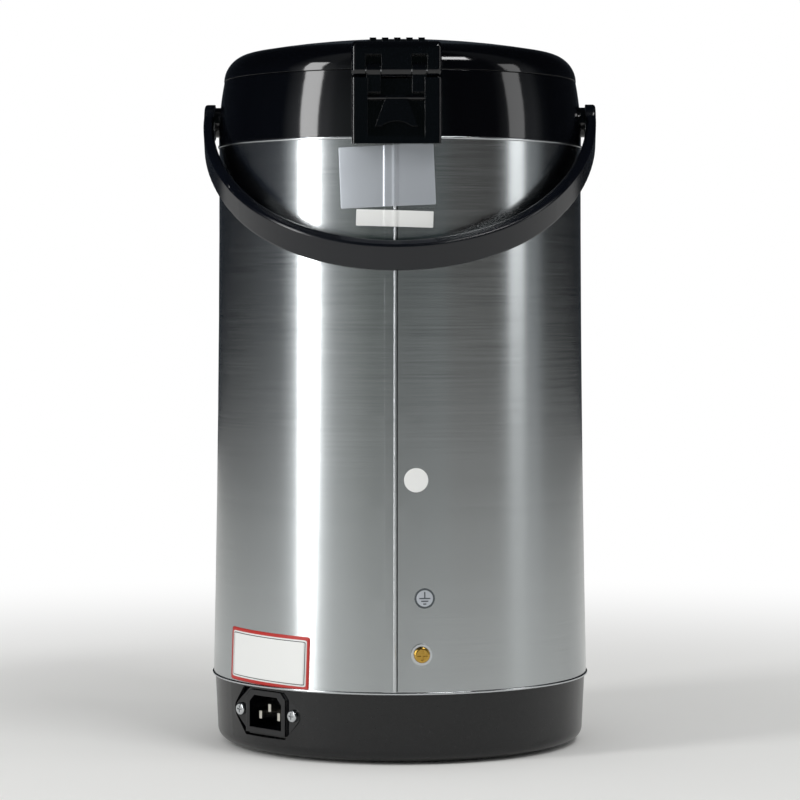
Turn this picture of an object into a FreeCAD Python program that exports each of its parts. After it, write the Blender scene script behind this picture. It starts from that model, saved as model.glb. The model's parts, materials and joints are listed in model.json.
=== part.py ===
"""Electric thermo pot: a pump-top pot with a brushed steel sleeve, bail handle and mains inlet.

Millimetres, +Z up. The origin is on the pot's axis, on the surface that the feet stand on.
The spout looks along -Y and the lid hinge is on the +Y side.
"""
import FreeCAD, Part
import math
import os

V = FreeCAD.Vector
X_AXIS = V(1, 0, 0)
Y_AXIS = V(0, 1, 0)
Z_AXIS = V(0, 0, 1)

# Clearances and fits
GAP = 0.3
RUNNING = 0.05

# Steel sleeve: outer radius at three heights, because the sheet flares towards the base
SLEEVE_Z0 = 36.0
SLEEVE_Z1 = 317.0
SLEEVE_TOP_R = 96.7
SLEEVE_MID_Z = 179.0
SLEEVE_MID_BULGE = 0.7
SLEEVE_LOW_FLARE = 2.9
SLEEVE_MID_R = SLEEVE_TOP_R + SLEEVE_MID_BULGE
SLEEVE_LOW_R = SLEEVE_TOP_R + SLEEVE_LOW_FLARE
SLEEVE_STEP = 45.0
SHEET = 0.6
LIP_STEP = 0.4
LIP_HEIGHT = 1.2
HEM_WIDTH = 1.8
LAP_STEP = 0.5
LAP_WIDTH = 6.0

# Base ring
RING_SET_BACK = 0.9
RING_TAPER = 1.4
RING_TOP_R = SLEEVE_LOW_R - RING_SET_BACK
RING_LOW_R = RING_TOP_R - RING_TAPER
RING_BOTTOM_Z = 1.6
RING_FOOT_FILLET = 6.5
RING_WALL = 2.6
SPIGOT_HEIGHT = 8.0
SPIGOT_WALL = 2.0
LEDGE_Z = 7.4
LEDGE_THICK = 2.6
COVER_INSET = 10.3
LEDGE_WIDTH = 5.0
LEDGE_R = RING_LOW_R - COVER_INSET - LEDGE_WIDTH

# Bottom cover, turntable and feet
COVER_R = RING_LOW_R - COVER_INSET
COVER_THICK = 2.6
COVER_SCREW_PCD_R = COVER_R - LEDGE_WIDTH / 2 - 0.1
COVER_SCREW_COUNT = 3
HUB_R = 11.92
TURNTABLE_TOP_GAP = 0.4
TURNTABLE_EDGE_GAP = 0.7
RETAINER_R = 15.5
RETAINER_THICK = 1.0
FOOT_R = 6.75
FOOT_INSET = 10.0
FOOT_CIRCLE_R = COVER_R - FOOT_INSET
FOOT_COUNT = 4
FOOT_ANGLE = 83.0
FOOT_SEAT = 0.8
VENT_SLOT_R0 = 48.0
VENT_SLOT_R1 = 68.0
VENT_SLOT_HALF = 1.6
VENT_SLOT_COUNT = 12

# Mains inlet, to the common appliance inlet pattern
INLET_ANGLE = 45.0
INLET_Z = 22.8
INLET_SEAT_DEPTH = 7.0
INLET_SEAT_N = RING_TOP_R - INLET_SEAT_DEPTH
INLET_FLANGE_THICK = 3.0
INLET_SCREW_SPACING = 40.0
INLET_FLANGE_WIDTH = 29.0
INLET_FLANGE_HEIGHT = 24.0
INLET_EAR_R = 4.7
INLET_RIM_WIDTH = 30.0
INLET_RIM_HEIGHT = 22.0
INLET_RIM_PROUD = 1.5
INLET_OPENING_WIDTH = 24.5
INLET_OPENING_HEIGHT = 16.5
INLET_OPENING_DEPTH = 15.5
INLET_CORNER = 3.5
INLET_BODY_WIDTH = 27.0
INLET_BODY_HEIGHT = 19.4
INLET_BACK_WALL = 3.0
INLET_POCKET_GAP = 0.5
INLET_SCREW_DEPTH = 12.0
PIN_WIDTH = 2.0
PIN_HEIGHT = 4.0
PIN_SIDE = 7.0
PIN_RISE = 2.0
PIN_SETBACK = 3.0
TERMINAL_LENGTH = 9.0

# Earth screw on the rear
EARTH_X = -12.6
EARTH_Z = 56.2
EARTH_HEAD_R = 4.1
EARTH_HEAD_HEIGHT = 2.0
EARTH_RING_R = 5.4
EARTH_RING_THICK = 0.7
EARTH_SHANK_R = 2.0
EARTH_SHANK_LENGTH = 9.0

# Inner liner
JACKET_ROOM = 16.7
LINER_FLANGE_WIDTH = 6.0
OUTLET_INSET = 16.0
LINER_R = SLEEVE_TOP_R - JACKET_ROOM
LINER_Z0 = 62.0
LINER_CORNER = 10.0
LINER_FLANGE_R = LINER_R + LINER_FLANGE_WIDTH
LINER_TOP_Z = 312.8
OUTLET_Y = -(LINER_R - OUTLET_INSET)

# Heating
HEATER_R = 56.0
HEATER_PLATE = 2.5
HEATER_TUBE_MID_R = 41.0
HEATER_TUBE_WIDTH = 10.0
HEATER_TUBE_DROP = 6.5
CLAMP_LENGTH = 112.0
CLAMP_WIDTH = 16.0
CLAMP_THICK = 2.0
BAND_Z = 80.0
BAND_HEIGHT = 30.0
BAND_THICK = 2.5
THERMOSTAT_R = 8.0
BOARD_HALF = 34.0
BOARD_Y0 = -46.0
BOARD_Y1 = -12.0
BOARD_LIFT = 8.0
BOARD_THICK = 1.6
STANDOFF_R = 3.0
STANDOFF_INSET = 4.0
BLOCK_Y = 25.0
BLOCK_DEPTH = 14.0
BLOCK_HEIGHT = 12.0
BLOCK_PITCH = 10.0
BLOCK_WAYS = 3
CUTOUT_SIZE = 6.4
CUTOUT_LENGTH = 16.0
THERMOSTAT_HEIGHT = 10.0
SENSOR_GAP = 2.0
SENSOR_OFFSET = HEATER_TUBE_MID_R - HEATER_TUBE_WIDTH / 2 - THERMOSTAT_R - SENSOR_GAP

# Water path
TUBE_R = 4.0
TUBE_BORE_R = 2.8
RISER_INSET = 6.1
RISER_Y = -(SLEEVE_TOP_R - RISER_INSET)
ELBOW_LOW_Z = 46.0
RISER_Z0 = 70.0
RISER_Z1 = 322.0
TUBE_BEND_R = 9.0
FLOAT_R = 2.2
FLOAT_LENGTH = 7.0
FLOAT_STOP_Z = 105.0
FLOAT_STOP_R = 1.7

# Level window and lamp panel
WINDOW_HALF_WIDTH = 6.0
WINDOW_Z0 = 100.0
WINDOW_Z1 = 260.0
BEZEL_BORDER = 7.0
BEZEL_PROUD = 2.4
WINDOW_PROUD = 1.4
PANEL_HALF_WIDTH = 27.0
PANEL_Z0 = 46.0
PANEL_Z1 = 84.0
PANEL_PROUD = 2.0
LAMP_R = 3.0
LAMP_X = 15.0
LAMP_Z = 68.0
LAMP_PROUD = 1.2
BUTTON_WIDTH = 13.0
BUTTON_HEIGHT = 8.0
BUTTON_Z = 66.0
BUTTON_PROUD = 3.0
BUTTON_DEPTH = 6.4

# Collar
COLLAR_OVERHANG = 0.2
COLLAR_MID_TAPER = 1.3
COLLAR_TOP_TAPER = 2.9
MOUTH_RIM_WIDTH = 7.0
MOUTH_LINER_GAP = 1.6
COLLAR_LOW_R = SLEEVE_TOP_R + COLLAR_OVERHANG
COLLAR_MID_R = COLLAR_LOW_R - COLLAR_MID_TAPER
COLLAR_MID_Z = 341.0
COLLAR_TOP_R = COLLAR_LOW_R - COLLAR_TOP_TAPER
COLLAR_TOP_Z = 350.9
COLLAR_WALL = 2.5
MOUTH_LOW_R = LINER_R + MOUTH_LINER_GAP
MOUTH_TOP_R = COLLAR_TOP_R - MOUTH_RIM_WIDTH
COLLAR_FOOT_HEIGHT = 5.0

# Spout hood
HOOD_OVERHANG = 55.1
HOOD_ROOT_INSET = 10.9
NOZZLE_INSET = 21.0
HOOD_REACH = COLLAR_LOW_R + HOOD_OVERHANG
HOOD_ROOT_HALF = 36.0
HOOD_NOSE_HALF = 25.0
HOOD_NOSE_BULGE = 9.0
HOOD_ROOT_Y = -(COLLAR_LOW_R - HOOD_ROOT_INSET)
HOOD_TOP_Z = 349.0
HOOD_NOSE_TOP_Z = 337.0
HOOD_BOTTOM_Z = 300.0
HOOD_NOSE_BOTTOM_Z = 318.0
HOOD_WALL = 2.4
NOZZLE_Y = -(HOOD_REACH - NOZZLE_INSET)
NOZZLE_TOP_R = 9.0
NOZZLE_TIP_R = 6.5
NOZZLE_BORE_R = 4.3
NOZZLE_TIP_Z = 292.0
NOZZLE_FLANGE_R = 12.0
SPOUT_RUN_Z = 334.0
SPOUT_BEND_R = 7.0

# Rear hinge
HINGE_STANDOFF = 3.6
HINGE_Y = COLLAR_LOW_R + HINGE_STANDOFF
HINGE_Z = 350.0
BARREL_R = 3.5
HINGE_PIN_R = 1.5
BLOCK_HALF = 22.6
BLOCK_REAR_Y = HINGE_Y + BARREL_R
BLOCK_BOTTOM_Z = 312.7
HOUSING_TOP_Z = 346.0
RECESS_HALF = 14.3
RECESS_Z = 316.7
RECESS_DEPTH = 6.4
RECESS_BACK_Y = BLOCK_REAR_Y - RECESS_DEPTH
EAR_INNER = 7.9
EAR_OUTER = 15.2
EAR_LOW_Z = 338.5
EAR_FACE_INSET = 1.1
SLOT_TOP_Z = 357.4
LUG_TOP_Z = 364.4
LUG_LENGTH = 24.0
LUG_FRONT_Y = BLOCK_REAR_Y - LUG_LENGTH

# Lid release lever in the recess
RELEASE_Z = 336.0
RELEASE_STANDOFF = 2.8
RELEASE_Y = RECESS_BACK_Y + RELEASE_STANDOFF
RELEASE_ROD_R = 1.2
RELEASE_LENGTH = 14.5
RELEASE_THICK = 2.2
RELEASE_TOP_HALF = 5.0
RELEASE_LOW_HALF = 11.0
RELEASE_NOTCH_R = 12.0
RELEASE_NOTCH_DEPTH = 2.6

# Lid
LID_OVERHANG = 0.2
CUP_TOP_GAP = 3.4
CUP_LOW_GAP = 1.6
LID_PLATE_INSET = 4.0
GASKET_OVERHANG = 0.6
LID_SCREW_INSET = 10.0
LID_R = COLLAR_TOP_R + LID_OVERHANG
LID_RISE = 22.1
LID_APEX_Z = COLLAR_TOP_Z + LID_RISE
LID_CROWN_R = 445.0
LID_SHOULDER_R = 15.0
LID_WALL = 2.6
LID_RIM_GAP = 0.3
LID_RIM_Z = COLLAR_TOP_Z + LID_RIM_GAP
LID_FLOOR_Z = 316.0
LID_FLOOR_THICK = 2.4
LID_CUP_LOW_R = MOUTH_LOW_R - CUP_LOW_GAP
LID_CUP_TOP_R = MOUTH_TOP_R - CUP_TOP_GAP
LID_CUP_WALL = 2.2
LID_PLATE_R = LID_CUP_LOW_R - LID_PLATE_INSET
LID_PLATE_THICK = 1.6
GASKET_R = LID_CUP_LOW_R + GASKET_OVERHANG
GASKET_DROP = 2.7
LID_SCREW_CIRCLE_R = LID_PLATE_R - LID_SCREW_INSET
LID_SCREW_ANGLES = (10.0, 130.0, 250.0)
SCREW_R = 1.6
SCREW_HEAD_R = 3.2
LID_BOSS_R = 4.2

# Pump
PUMP_INSET = 40.6
PUMP_R = COLLAR_TOP_R - PUMP_INSET
PUMP_SKIRT_Z = 352.0
PUMP_PLATE_THICK = 3.0
PUMP_SKIRT_THICK = 2.2
WELL_GAP = 0.4
WELL_WALL = 2.2
PUMP_SEAT_DROP = 9.0
PUMP_SEAT_Z = LID_APEX_Z - PUMP_SEAT_DROP
BELLOWS_R = 44.0
BELLOWS_ROOT_R = 37.0
BELLOWS_WALL = 1.2
BELLOWS_FOLDS = 5
SPRING_R = 14.0
SPRING_WIRE_R = 0.9
SPRING_TURNS = 6
VALVE_R = 9.0
VALVE_THICK = 1.8

# Steam vent: five raised bars in front of the hinge
VENT_BAR_WIDTH = 3.3
VENT_BAR_PITCH = 6.2
VENT_BAR_COUNT = 5
VENT_INSET = 11.2
VENT_LENGTH = 19.0
VENT_Y0 = LID_R - VENT_INSET - VENT_LENGTH
VENT_Y1 = LID_R - VENT_INSET
VENT_HALF = 15.6
VENT_TOP_Z = 368.0
VENT_SINK = 0.8

# Latch and pump lock at the lid's front
LATCH_HALF = 15.0
LATCH_INSET = 2.4
LATCH_LENGTH = 17.6
LATCH_PIVOT_INSET = 16.0
LOCK_INSET = 30.5
LATCH_Y0 = -(COLLAR_TOP_R - LATCH_INSET)
LATCH_Y1 = LATCH_Y0 + LATCH_LENGTH
LATCH_PIVOT_Y = -(COLLAR_TOP_R - LATCH_PIVOT_INSET)
LATCH_PIVOT_Z = 361.0
LATCH_PIN_R = 1.2
LATCH_THICK = 2.6
HOOK_HALF = 7.0
HOOK_THICK = 2.2
HOOK_Z = 343.0
HOOK_NOSE = 1.2
HOOK_SIDE_ROOM = 1.0
HOOK_FRONT_ROOM = 1.6
HOOK_BACK_ROOM = 3.0
HOOK_LOW_ROOM = 2.5
CATCH_HALF = 16.0
CATCH_LOW_Z = 335.0
LOCK_Y = -(COLLAR_TOP_R - LOCK_INSET)
LOCK_LENGTH = 12.0
LOCK_WIDTH = 7.0
LOCK_TRAVEL = 8.0
LOCK_PROUD = 1.6

# Bail handle
PIVOT_Z = 330.0
BAIL_ARM_GAP = 2.5
BAIL_ARM_THICK = 5.4
BAIL_GRIP_THICK = 6.4
BAIL_HANG = 31.8
BAIL_BOW_CENTRE = 35.0
BAIL_INNER_CENTRE = 34.6
BAIL_INNER_HALF = SLEEVE_TOP_R + BAIL_ARM_GAP
BAIL_HALF = BAIL_INNER_HALF + BAIL_ARM_THICK
BAIL_REACH = BAIL_INNER_HALF + BAIL_HANG
BAIL_BOW_R = BAIL_REACH - BAIL_BOW_CENTRE
BAIL_INNER_REACH = BAIL_REACH - BAIL_GRIP_THICK
BAIL_INNER_BOW_R = BAIL_INNER_REACH - BAIL_INNER_CENTRE
BAIL_STRAIGHT = 5.0
BAIL_WIDTH = 15.6
BAIL_REST_ANGLE = 35.0
BAIL_END_R = 9.6
BAIL_EDGE_FILLET = 1.6
STUB_R = 4.0
STUB_LENGTH = 3.2
SIDE_BOSS_R = 8.0

os.makedirs("parts", exist_ok=True)


def save(shape, node):
    """Write one node's STEP file."""
    shape.exportStep("parts/" + node + ".step")


def box(x0, x1, y0, y1, z0, z1):
    """Box between two corners."""
    return Part.makeBox(x1 - x0, y1 - y0, z1 - z0, V(x0, y0, z0))


def rod(radius, start, end):
    """Cylinder from one point to another."""
    axis = end.sub(start)
    return Part.makeCylinder(radius, axis.Length, start, axis)


def spun(face, angle):
    """Face revolved about Z, as a solid with its faces outwards."""
    solid = face.revolve(V(0, 0, 0), Z_AXIS, angle)
    if solid.Volume < 0:
        solid.reverse()
    return solid


def turned(points, angle=360.0):
    """Solid of revolution about Z of a closed outline of (radius, height) points."""
    corners = [V(r, 0, z) for r, z in points]
    return spun(Part.Face(Part.makePolygon(corners + corners[:1])), angle)


def turned_edges(edges):
    """Solid of revolution about Z of a closed outline of edges in the XZ plane."""
    return spun(Part.Face(Part.Wire(Part.__sortEdges__(edges))), 360)


def line(a, b):
    """Straight edge between two points."""
    return Part.LineSegment(a, b).toShape()


def arc(a, b, c):
    """Circular edge from a through b to c."""
    return Part.Arc(a, b, c).toShape()


def ring(inner, outer, z0, z1):
    """Flat-ended tube about Z."""
    return turned([(inner, z0), (outer, z0), (outer, z1), (inner, z1)])


def prism_x(points, x0, x1):
    """Outline of (y, z) points extruded along X."""
    corners = [V(x0, y, z) for y, z in points]
    face = Part.Face(Part.makePolygon(corners + corners[:1]))
    return face.extrude(V(x1 - x0, 0, 0))


def about_z(shape, angle):
    """Copy of a shape turned about the pot's axis."""
    turned_copy = shape.copy()
    turned_copy.rotate(V(0, 0, 0), Z_AXIS, angle)
    return turned_copy


def polar(radius, angle, z):
    """Point at a radius and an angle in degrees."""
    return V(radius * math.cos(math.radians(angle)), radius * math.sin(math.radians(angle)), z)


def fillet_where(shape, radius, wanted):
    """Round the edges that a test picks out."""
    edges = [edge for edge in shape.Edges if wanted(edge)]
    return shape.makeFillet(radius, edges) if edges else shape


def tube_path(points, bend):
    """Straight runs joined by tangent arcs of one radius."""
    edges = []
    start = points[0]
    for before, corner, after in zip(points, points[1:], points[2:]):
        into = corner.sub(before).normalize()
        out = after.sub(corner).normalize()
        half_turn = into.getAngle(out) / 2
        setback = bend * math.tan(half_turn)
        a = corner.sub(into * setback)
        c = corner.add(out * setback)
        inward = out.sub(into).normalize()
        centre = corner.add(inward * (bend / math.cos(half_turn)))
        b = centre.sub(inward * bend)
        edges.append(line(start, a))
        edges.append(arc(a, b, c))
        start = c
    edges.append(line(start, points[-1]))
    return Part.Wire(edges)


def swept_tube(points, bend, outer, inner):
    """Round tube along a path of runs and arcs, with a bore."""
    path = tube_path(points, bend)
    along = points[1].sub(points[0])
    solids = []
    for radius in (outer, inner):
        circle = Part.Wire(Part.Circle(points[0], along, radius).toShape())
        solids.append(path.makePipeShell([circle], True, False))
    return solids[0].cut(solids[1])


def sleeve_line(offset, z0, z1):
    """Points down the sleeve's outer curve between two heights, moved out by an offset."""
    steps = max(1, round((z1 - z0) / SLEEVE_STEP))
    heights = [z1 + (z0 - z1) * i / steps for i in range(steps + 1)]
    return [(sleeve_r(z) + offset, z) for z in heights]


def sleeve_r(z):
    """Outer radius of the steel sleeve at a height: a parabola through its three radii."""
    def share(at, a, b):
        return (z - a) * (z - b) / ((at - a) * (at - b))
    top = SLEEVE_TOP_R * share(SLEEVE_Z1, SLEEVE_MID_Z, SLEEVE_Z0)
    mid = SLEEVE_MID_R * share(SLEEVE_MID_Z, SLEEVE_Z1, SLEEVE_Z0)
    low = SLEEVE_LOW_R * share(SLEEVE_Z0, SLEEVE_Z1, SLEEVE_MID_Z)
    return top + mid + low


def sleeve_body(offset, z0, z1):
    """Filled solid of the sleeve's outer form, moved out by an offset."""
    return turned([(0, z1)] + sleeve_line(offset, z0, z1) + [(0, z0)])


def sleeve_core(offset):
    """Filled solid of the sleeve between its lips, moved out by an offset."""
    return sleeve_body(offset, SLEEVE_Z0 + LIP_HEIGHT, SLEEVE_Z1 - LIP_HEIGHT)


def outer_shell():
    """Rolled steel sleeve with a lap seam at the rear, edge lips and turned-in hems."""
    low_lip = SLEEVE_Z0 + LIP_HEIGHT
    top_lip = SLEEVE_Z1 - LIP_HEIGHT
    low_r = sleeve_r(SLEEVE_Z0)
    top_r = sleeve_r(SLEEVE_Z1)
    low_hem = low_r - HEM_WIDTH
    top_hem = top_r - HEM_WIDTH
    inner_low = SLEEVE_Z0 + SHEET
    inner_top = SLEEVE_Z1 - SHEET
    outline = [(top_r + LIP_STEP, top_lip + LIP_STEP)]
    outline += sleeve_line(0, low_lip, top_lip)
    outline += [(low_r + LIP_STEP, low_lip - LIP_STEP), (low_r + LIP_STEP, SLEEVE_Z0), (low_hem, SLEEVE_Z0),
                (low_hem, inner_low)]
    outline += list(reversed(sleeve_line(-SHEET, inner_low, inner_top)))
    outline += [(top_hem, inner_top), (top_hem, SLEEVE_Z1), (top_r + LIP_STEP, SLEEVE_Z1)]
    shell = turned(outline)
    lap_angle = math.degrees(LAP_WIDTH / SLEEVE_MID_R)
    inside = -SHEET / 2
    lap_outline = sleeve_line(LAP_STEP, low_lip, top_lip) + list(reversed(sleeve_line(inside, low_lip,
                                                                                      top_lip)))
    lap = about_z(turned(lap_outline, lap_angle), 90 - lap_angle)
    shell = shell.fuse(lap)
    shell = shell.cut(window_block(0))
    for x in (-LAMP_X, LAMP_X):
        shell = shell.cut(rod(LAMP_R, V(x, -SLEEVE_LOW_R - 5, LAMP_Z), V(x, RISER_Y + 1, LAMP_Z)))
    shell = shell.cut(button_block(GAP, SLEEVE_LOW_R + 5, 80))
    return shell.cut(earth_rod(EARTH_SHANK_R, -EARTH_SHANK_LENGTH, EARTH_HEAD_HEIGHT))


def ring_outline(wall):
    """Filled solid of the base ring's outer form, moved in by a wall."""
    fillet_r = RING_FOOT_FILLET
    low = RING_BOTTOM_Z + wall
    knee = V(RING_LOW_R - wall, 0, RING_BOTTOM_Z + fillet_r)
    foot = V(RING_LOW_R - fillet_r, 0, low)
    slant = math.radians(45)
    reach = fillet_r - wall
    middle = V(foot.x + reach * math.sin(slant), 0, knee.z - reach * math.cos(slant))
    edges = [
        line(V(0, 0, SLEEVE_Z0), V(RING_TOP_R - wall, 0, SLEEVE_Z0)),
        line(V(RING_TOP_R - wall, 0, SLEEVE_Z0), knee),
        arc(knee, middle, foot),
        line(foot, V(0, 0, low)),
        line(V(0, 0, low), V(0, 0, SLEEVE_Z0)),
    ]
    return turned_edges(edges)


def inlet_frame(shape):
    """Move a shape drawn along +X at height zero to the inlet's place."""
    placed = shape.copy()
    placed.translate(V(0, 0, INLET_Z))
    return about_z(placed, INLET_ANGLE)


def inlet_flange_prism(grow, n0, n1):
    """The inlet's flange outline, with its two pointed ears, between two depths."""
    half_w = INLET_FLANGE_WIDTH / 2 + grow
    half_h = INLET_FLANGE_HEIGHT / 2 + grow
    ear = INLET_SCREW_SPACING / 2
    ear_r = INLET_EAR_R + grow
    lean = math.atan2(half_h, ear - half_w + ear_r)
    side = V(n0, ear + ear_r * math.sin(lean), ear_r * math.cos(lean))
    corners = [V(n0, half_w, half_h), side, V(n0, ear + ear_r, 0), V(n0, side.y, -side.z),
               V(n0, half_w, -half_h)]
    mirrored = [V(n0, -p.y, p.z) for p in reversed(corners)]
    edges = [
        line(corners[0], corners[1]),
        arc(corners[1], corners[2], corners[3]),
        line(corners[3], corners[4]),
        line(corners[4], mirrored[0]),
        line(mirrored[0], mirrored[1]),
        arc(mirrored[1], mirrored[2], mirrored[3]),
        line(mirrored[3], mirrored[4]),
        line(mirrored[4], corners[0]),
    ]
    return Part.Face(Part.Wire(edges)).extrude(V(n1 - n0, 0, 0))


def keyed_prism(width, height, corner, n0, n1):
    """Rectangle with its two top corners cut off, between two depths."""
    w = width / 2
    h = height / 2
    points = [(-w, -h), (w, -h), (w, h - corner), (w - corner, h), (corner - w, h), (-w, h - corner)]
    corners = [V(n0, t, z) for t, z in points]
    face = Part.Face(Part.makePolygon(corners + corners[:1]))
    return face.extrude(V(n1 - n0, 0, 0))


def inlet_body_block(n0, n1):
    """Block of the inlet's body between two depths."""
    half_w = INLET_BODY_WIDTH / 2
    half_h = INLET_BODY_HEIGHT / 2
    return box(n0, n1, -half_w, half_w, -half_h, half_h)


def base_ring():
    """Moulded base ring with a spigot for the sleeve, a ledge for the cover and the inlet's seat."""
    shell = ring_outline(0).cut(ring_outline(RING_WALL))
    spigot_r = sleeve_r(SLEEVE_Z0) - HEM_WIDTH - GAP
    shell = shell.cut(Part.makeCylinder(spigot_r - SPIGOT_WALL, 2 * SLEEVE_Z0,
                                        V(0, 0, LEDGE_Z + LEDGE_THICK)))
    collar_top = SLEEVE_Z0 + SPIGOT_HEIGHT
    shell = shell.fuse(ring(spigot_r - SPIGOT_WALL, spigot_r, SLEEVE_Z0 - RING_WALL, collar_top))
    shell = shell.fuse(ring(LEDGE_R, RING_LOW_R - RING_WALL / 2, LEDGE_Z, LEDGE_Z + LEDGE_THICK))
    seat_half = INLET_SCREW_SPACING / 2 + 2 * INLET_EAR_R
    seat = box(INLET_SEAT_N - RING_WALL, RING_TOP_R, -seat_half, seat_half, LEDGE_Z - INLET_Z,
               SLEEVE_Z0 - INLET_Z)
    shell = shell.fuse(inlet_frame(seat).common(ring_outline(0)))
    shell = shell.cut(Part.makeCylinder(COVER_R + GAP, LEDGE_Z, V(0, 0, 0)))
    pocket = inlet_flange_prism(INLET_POCKET_GAP, INLET_SEAT_N, RING_TOP_R + 5)
    opening = inlet_body_block(INLET_SEAT_N - 2 * RING_WALL - INLET_SCREW_DEPTH, RING_TOP_R)
    shell = shell.cut(inlet_frame(pocket)).cut(inlet_frame(opening))
    for screw in inlet_screw_rods(SCREW_R, INLET_SEAT_N - INLET_SCREW_DEPTH):
        shell = shell.cut(screw)
    for screw in cover_screw_rods():
        shell = shell.cut(screw)
    return shell


def inlet_screw_rods(radius, depth):
    """The two screw shanks of the inlet."""
    half = INLET_SCREW_SPACING / 2
    front = INLET_SEAT_N + INLET_FLANGE_THICK
    return [inlet_frame(rod(radius, V(depth, t, 0), V(front, t, 0))) for t in (-half, half)]


def inlet_socket():
    """Mains inlet: flange with ears, keyed mouth, chamber and closed back."""
    flange_front = INLET_SEAT_N + INLET_FLANGE_THICK
    face_n = flange_front + INLET_RIM_PROUD
    back = face_n - INLET_OPENING_DEPTH - INLET_BACK_WALL
    socket = inlet_flange_prism(0, INLET_SEAT_N, flange_front)
    rim = keyed_prism(INLET_RIM_WIDTH, INLET_RIM_HEIGHT, INLET_CORNER, INLET_SEAT_N, face_n)
    body = inlet_body_block(back, INLET_SEAT_N)
    socket = socket.fuse(rim).fuse(body)
    mouth = keyed_prism(INLET_OPENING_WIDTH, INLET_OPENING_HEIGHT, INLET_CORNER,
                        face_n - INLET_OPENING_DEPTH, face_n)
    socket = inlet_frame(socket.cut(mouth).removeSplitter())
    for screw in inlet_screw_rods(SCREW_R, INLET_SEAT_N):
        socket = socket.cut(screw)
    return socket.cut(inlet_pins())


def inlet_pins():
    """Three flat pins with their terminals behind the socket."""
    face_n = INLET_SEAT_N + INLET_FLANGE_THICK + INLET_RIM_PROUD
    tip = face_n - PIN_SETBACK
    tail = face_n - INLET_OPENING_DEPTH - INLET_BACK_WALL - TERMINAL_LENGTH
    w = PIN_WIDTH / 2
    h = PIN_HEIGHT / 2
    places = [(-PIN_SIDE, -PIN_RISE), (PIN_SIDE, -PIN_RISE), (0, PIN_RISE)]
    pins = [inlet_frame(box(tail, tip, t - w, t + w, z - h, z + h)) for t, z in places]
    return Part.makeCompound(pins)


def inlet_screws():
    """Two pan-head screws with cross recesses that hold the inlet."""
    front = INLET_SEAT_N + INLET_FLANGE_THICK
    screws = []
    for t in (-INLET_SCREW_SPACING / 2, INLET_SCREW_SPACING / 2):
        head = rod(SCREW_HEAD_R, V(front, t, 0), V(front + 1.8, t, 0))
        head = fillet_where(head, 0.9, lambda e: e.BoundBox.XMin > front + 1)
        slot_a = box(front + 1, front + 3, t - 1.8, t + 1.8, -0.35, 0.35)
        slot_b = box(front + 1, front + 3, t - 0.35, t + 0.35, -1.8, 1.8)
        shank = rod(SCREW_R, V(INLET_SEAT_N - INLET_SCREW_DEPTH, t, 0), V(front, t, 0))
        screws.append(inlet_frame(head.cut(slot_a).cut(slot_b).fuse(shank)))
    return Part.makeCompound(screws)


def cover_screw_rods():
    """Shanks of the bottom cover's screws."""
    shanks = []
    for i in range(COVER_SCREW_COUNT):
        angle = 30 + i * 360 / COVER_SCREW_COUNT
        shanks.append(rod(SCREW_R, polar(COVER_SCREW_PCD_R, angle, LEDGE_Z - COVER_THICK),
                          polar(COVER_SCREW_PCD_R, angle, LEDGE_Z + LEDGE_THICK)))
    return shanks


def cover_screws():
    """Three countersunk screws, flush with the underside of the bottom cover."""
    low = LEDGE_Z - COVER_THICK
    cone_height = SCREW_R
    screws = []
    for i, shank in enumerate(cover_screw_rods()):
        foot = polar(COVER_SCREW_PCD_R, 30 + i * 360 / COVER_SCREW_COUNT, low)
        screws.append(shank.fuse(Part.makeCone(2 * SCREW_R, SCREW_R, cone_height, foot, Z_AXIS)))
    return Part.makeCompound(screws)


def bottom_cover():
    """Round bottom cover with a hub for the turntable and a ring of cooling slots."""
    low = LEDGE_Z - COVER_THICK
    hub_low = RING_BOTTOM_Z + 0.1 + RETAINER_THICK
    cover = ring(0, COVER_R, low, LEDGE_Z).fuse(ring(0, HUB_R, hub_low, low))
    for i in range(VENT_SLOT_COUNT):
        slot = box(VENT_SLOT_R0, VENT_SLOT_R1, -VENT_SLOT_HALF, VENT_SLOT_HALF, low - 1, LEDGE_Z + 1)
        cover = cover.cut(about_z(slot, i * 360 / VENT_SLOT_COUNT))
    cover = cover.cut(cover_screws())
    return cover.cut(retainer_screw())


def retainer_screw():
    """Countersunk screw in the turntable's hub."""
    low = RING_BOTTOM_Z + 0.1
    shank = rod(SCREW_R, V(0, 0, low), V(0, 0, LEDGE_Z))
    return shank.fuse(Part.makeCone(2 * SCREW_R, SCREW_R, RETAINER_THICK, V(0, 0, low), Z_AXIS))


def turntable_retainer():
    """Washer that keeps the turntable on the hub."""
    low = RING_BOTTOM_Z + 0.1
    return ring(0, RETAINER_R, low, low + RETAINER_THICK).cut(retainer_screw())


def foot_places():
    """Angles of the feet."""
    return [FOOT_ANGLE + i * 360 / FOOT_COUNT for i in range(FOOT_COUNT)]


def turntable():
    """Swivel disc under the pot, with a stiffening rib and seats for the feet."""
    low = RING_BOTTOM_Z
    top = LEDGE_Z - COVER_THICK - TURNTABLE_TOP_GAP
    bore = HUB_R + 0.08
    web = RING_BOTTOM_Z + 0.1 + RETAINER_THICK + GAP
    edge = COVER_R + GAP - TURNTABLE_EDGE_GAP
    outline = [(bore, web), (RETAINER_R + 1.5, web), (RETAINER_R + 1.5, low), (28, low), (30, low + 1),
               (62, low + 1),
               (64, low), (edge - 1, low), (edge, low + 1), (edge, top), (bore, top)]
    disc = turned(outline)
    for angle in foot_places():
        disc = disc.cut(Part.makeCylinder(FOOT_R, FOOT_SEAT, polar(FOOT_CIRCLE_R, angle, low)))
    return disc


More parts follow.
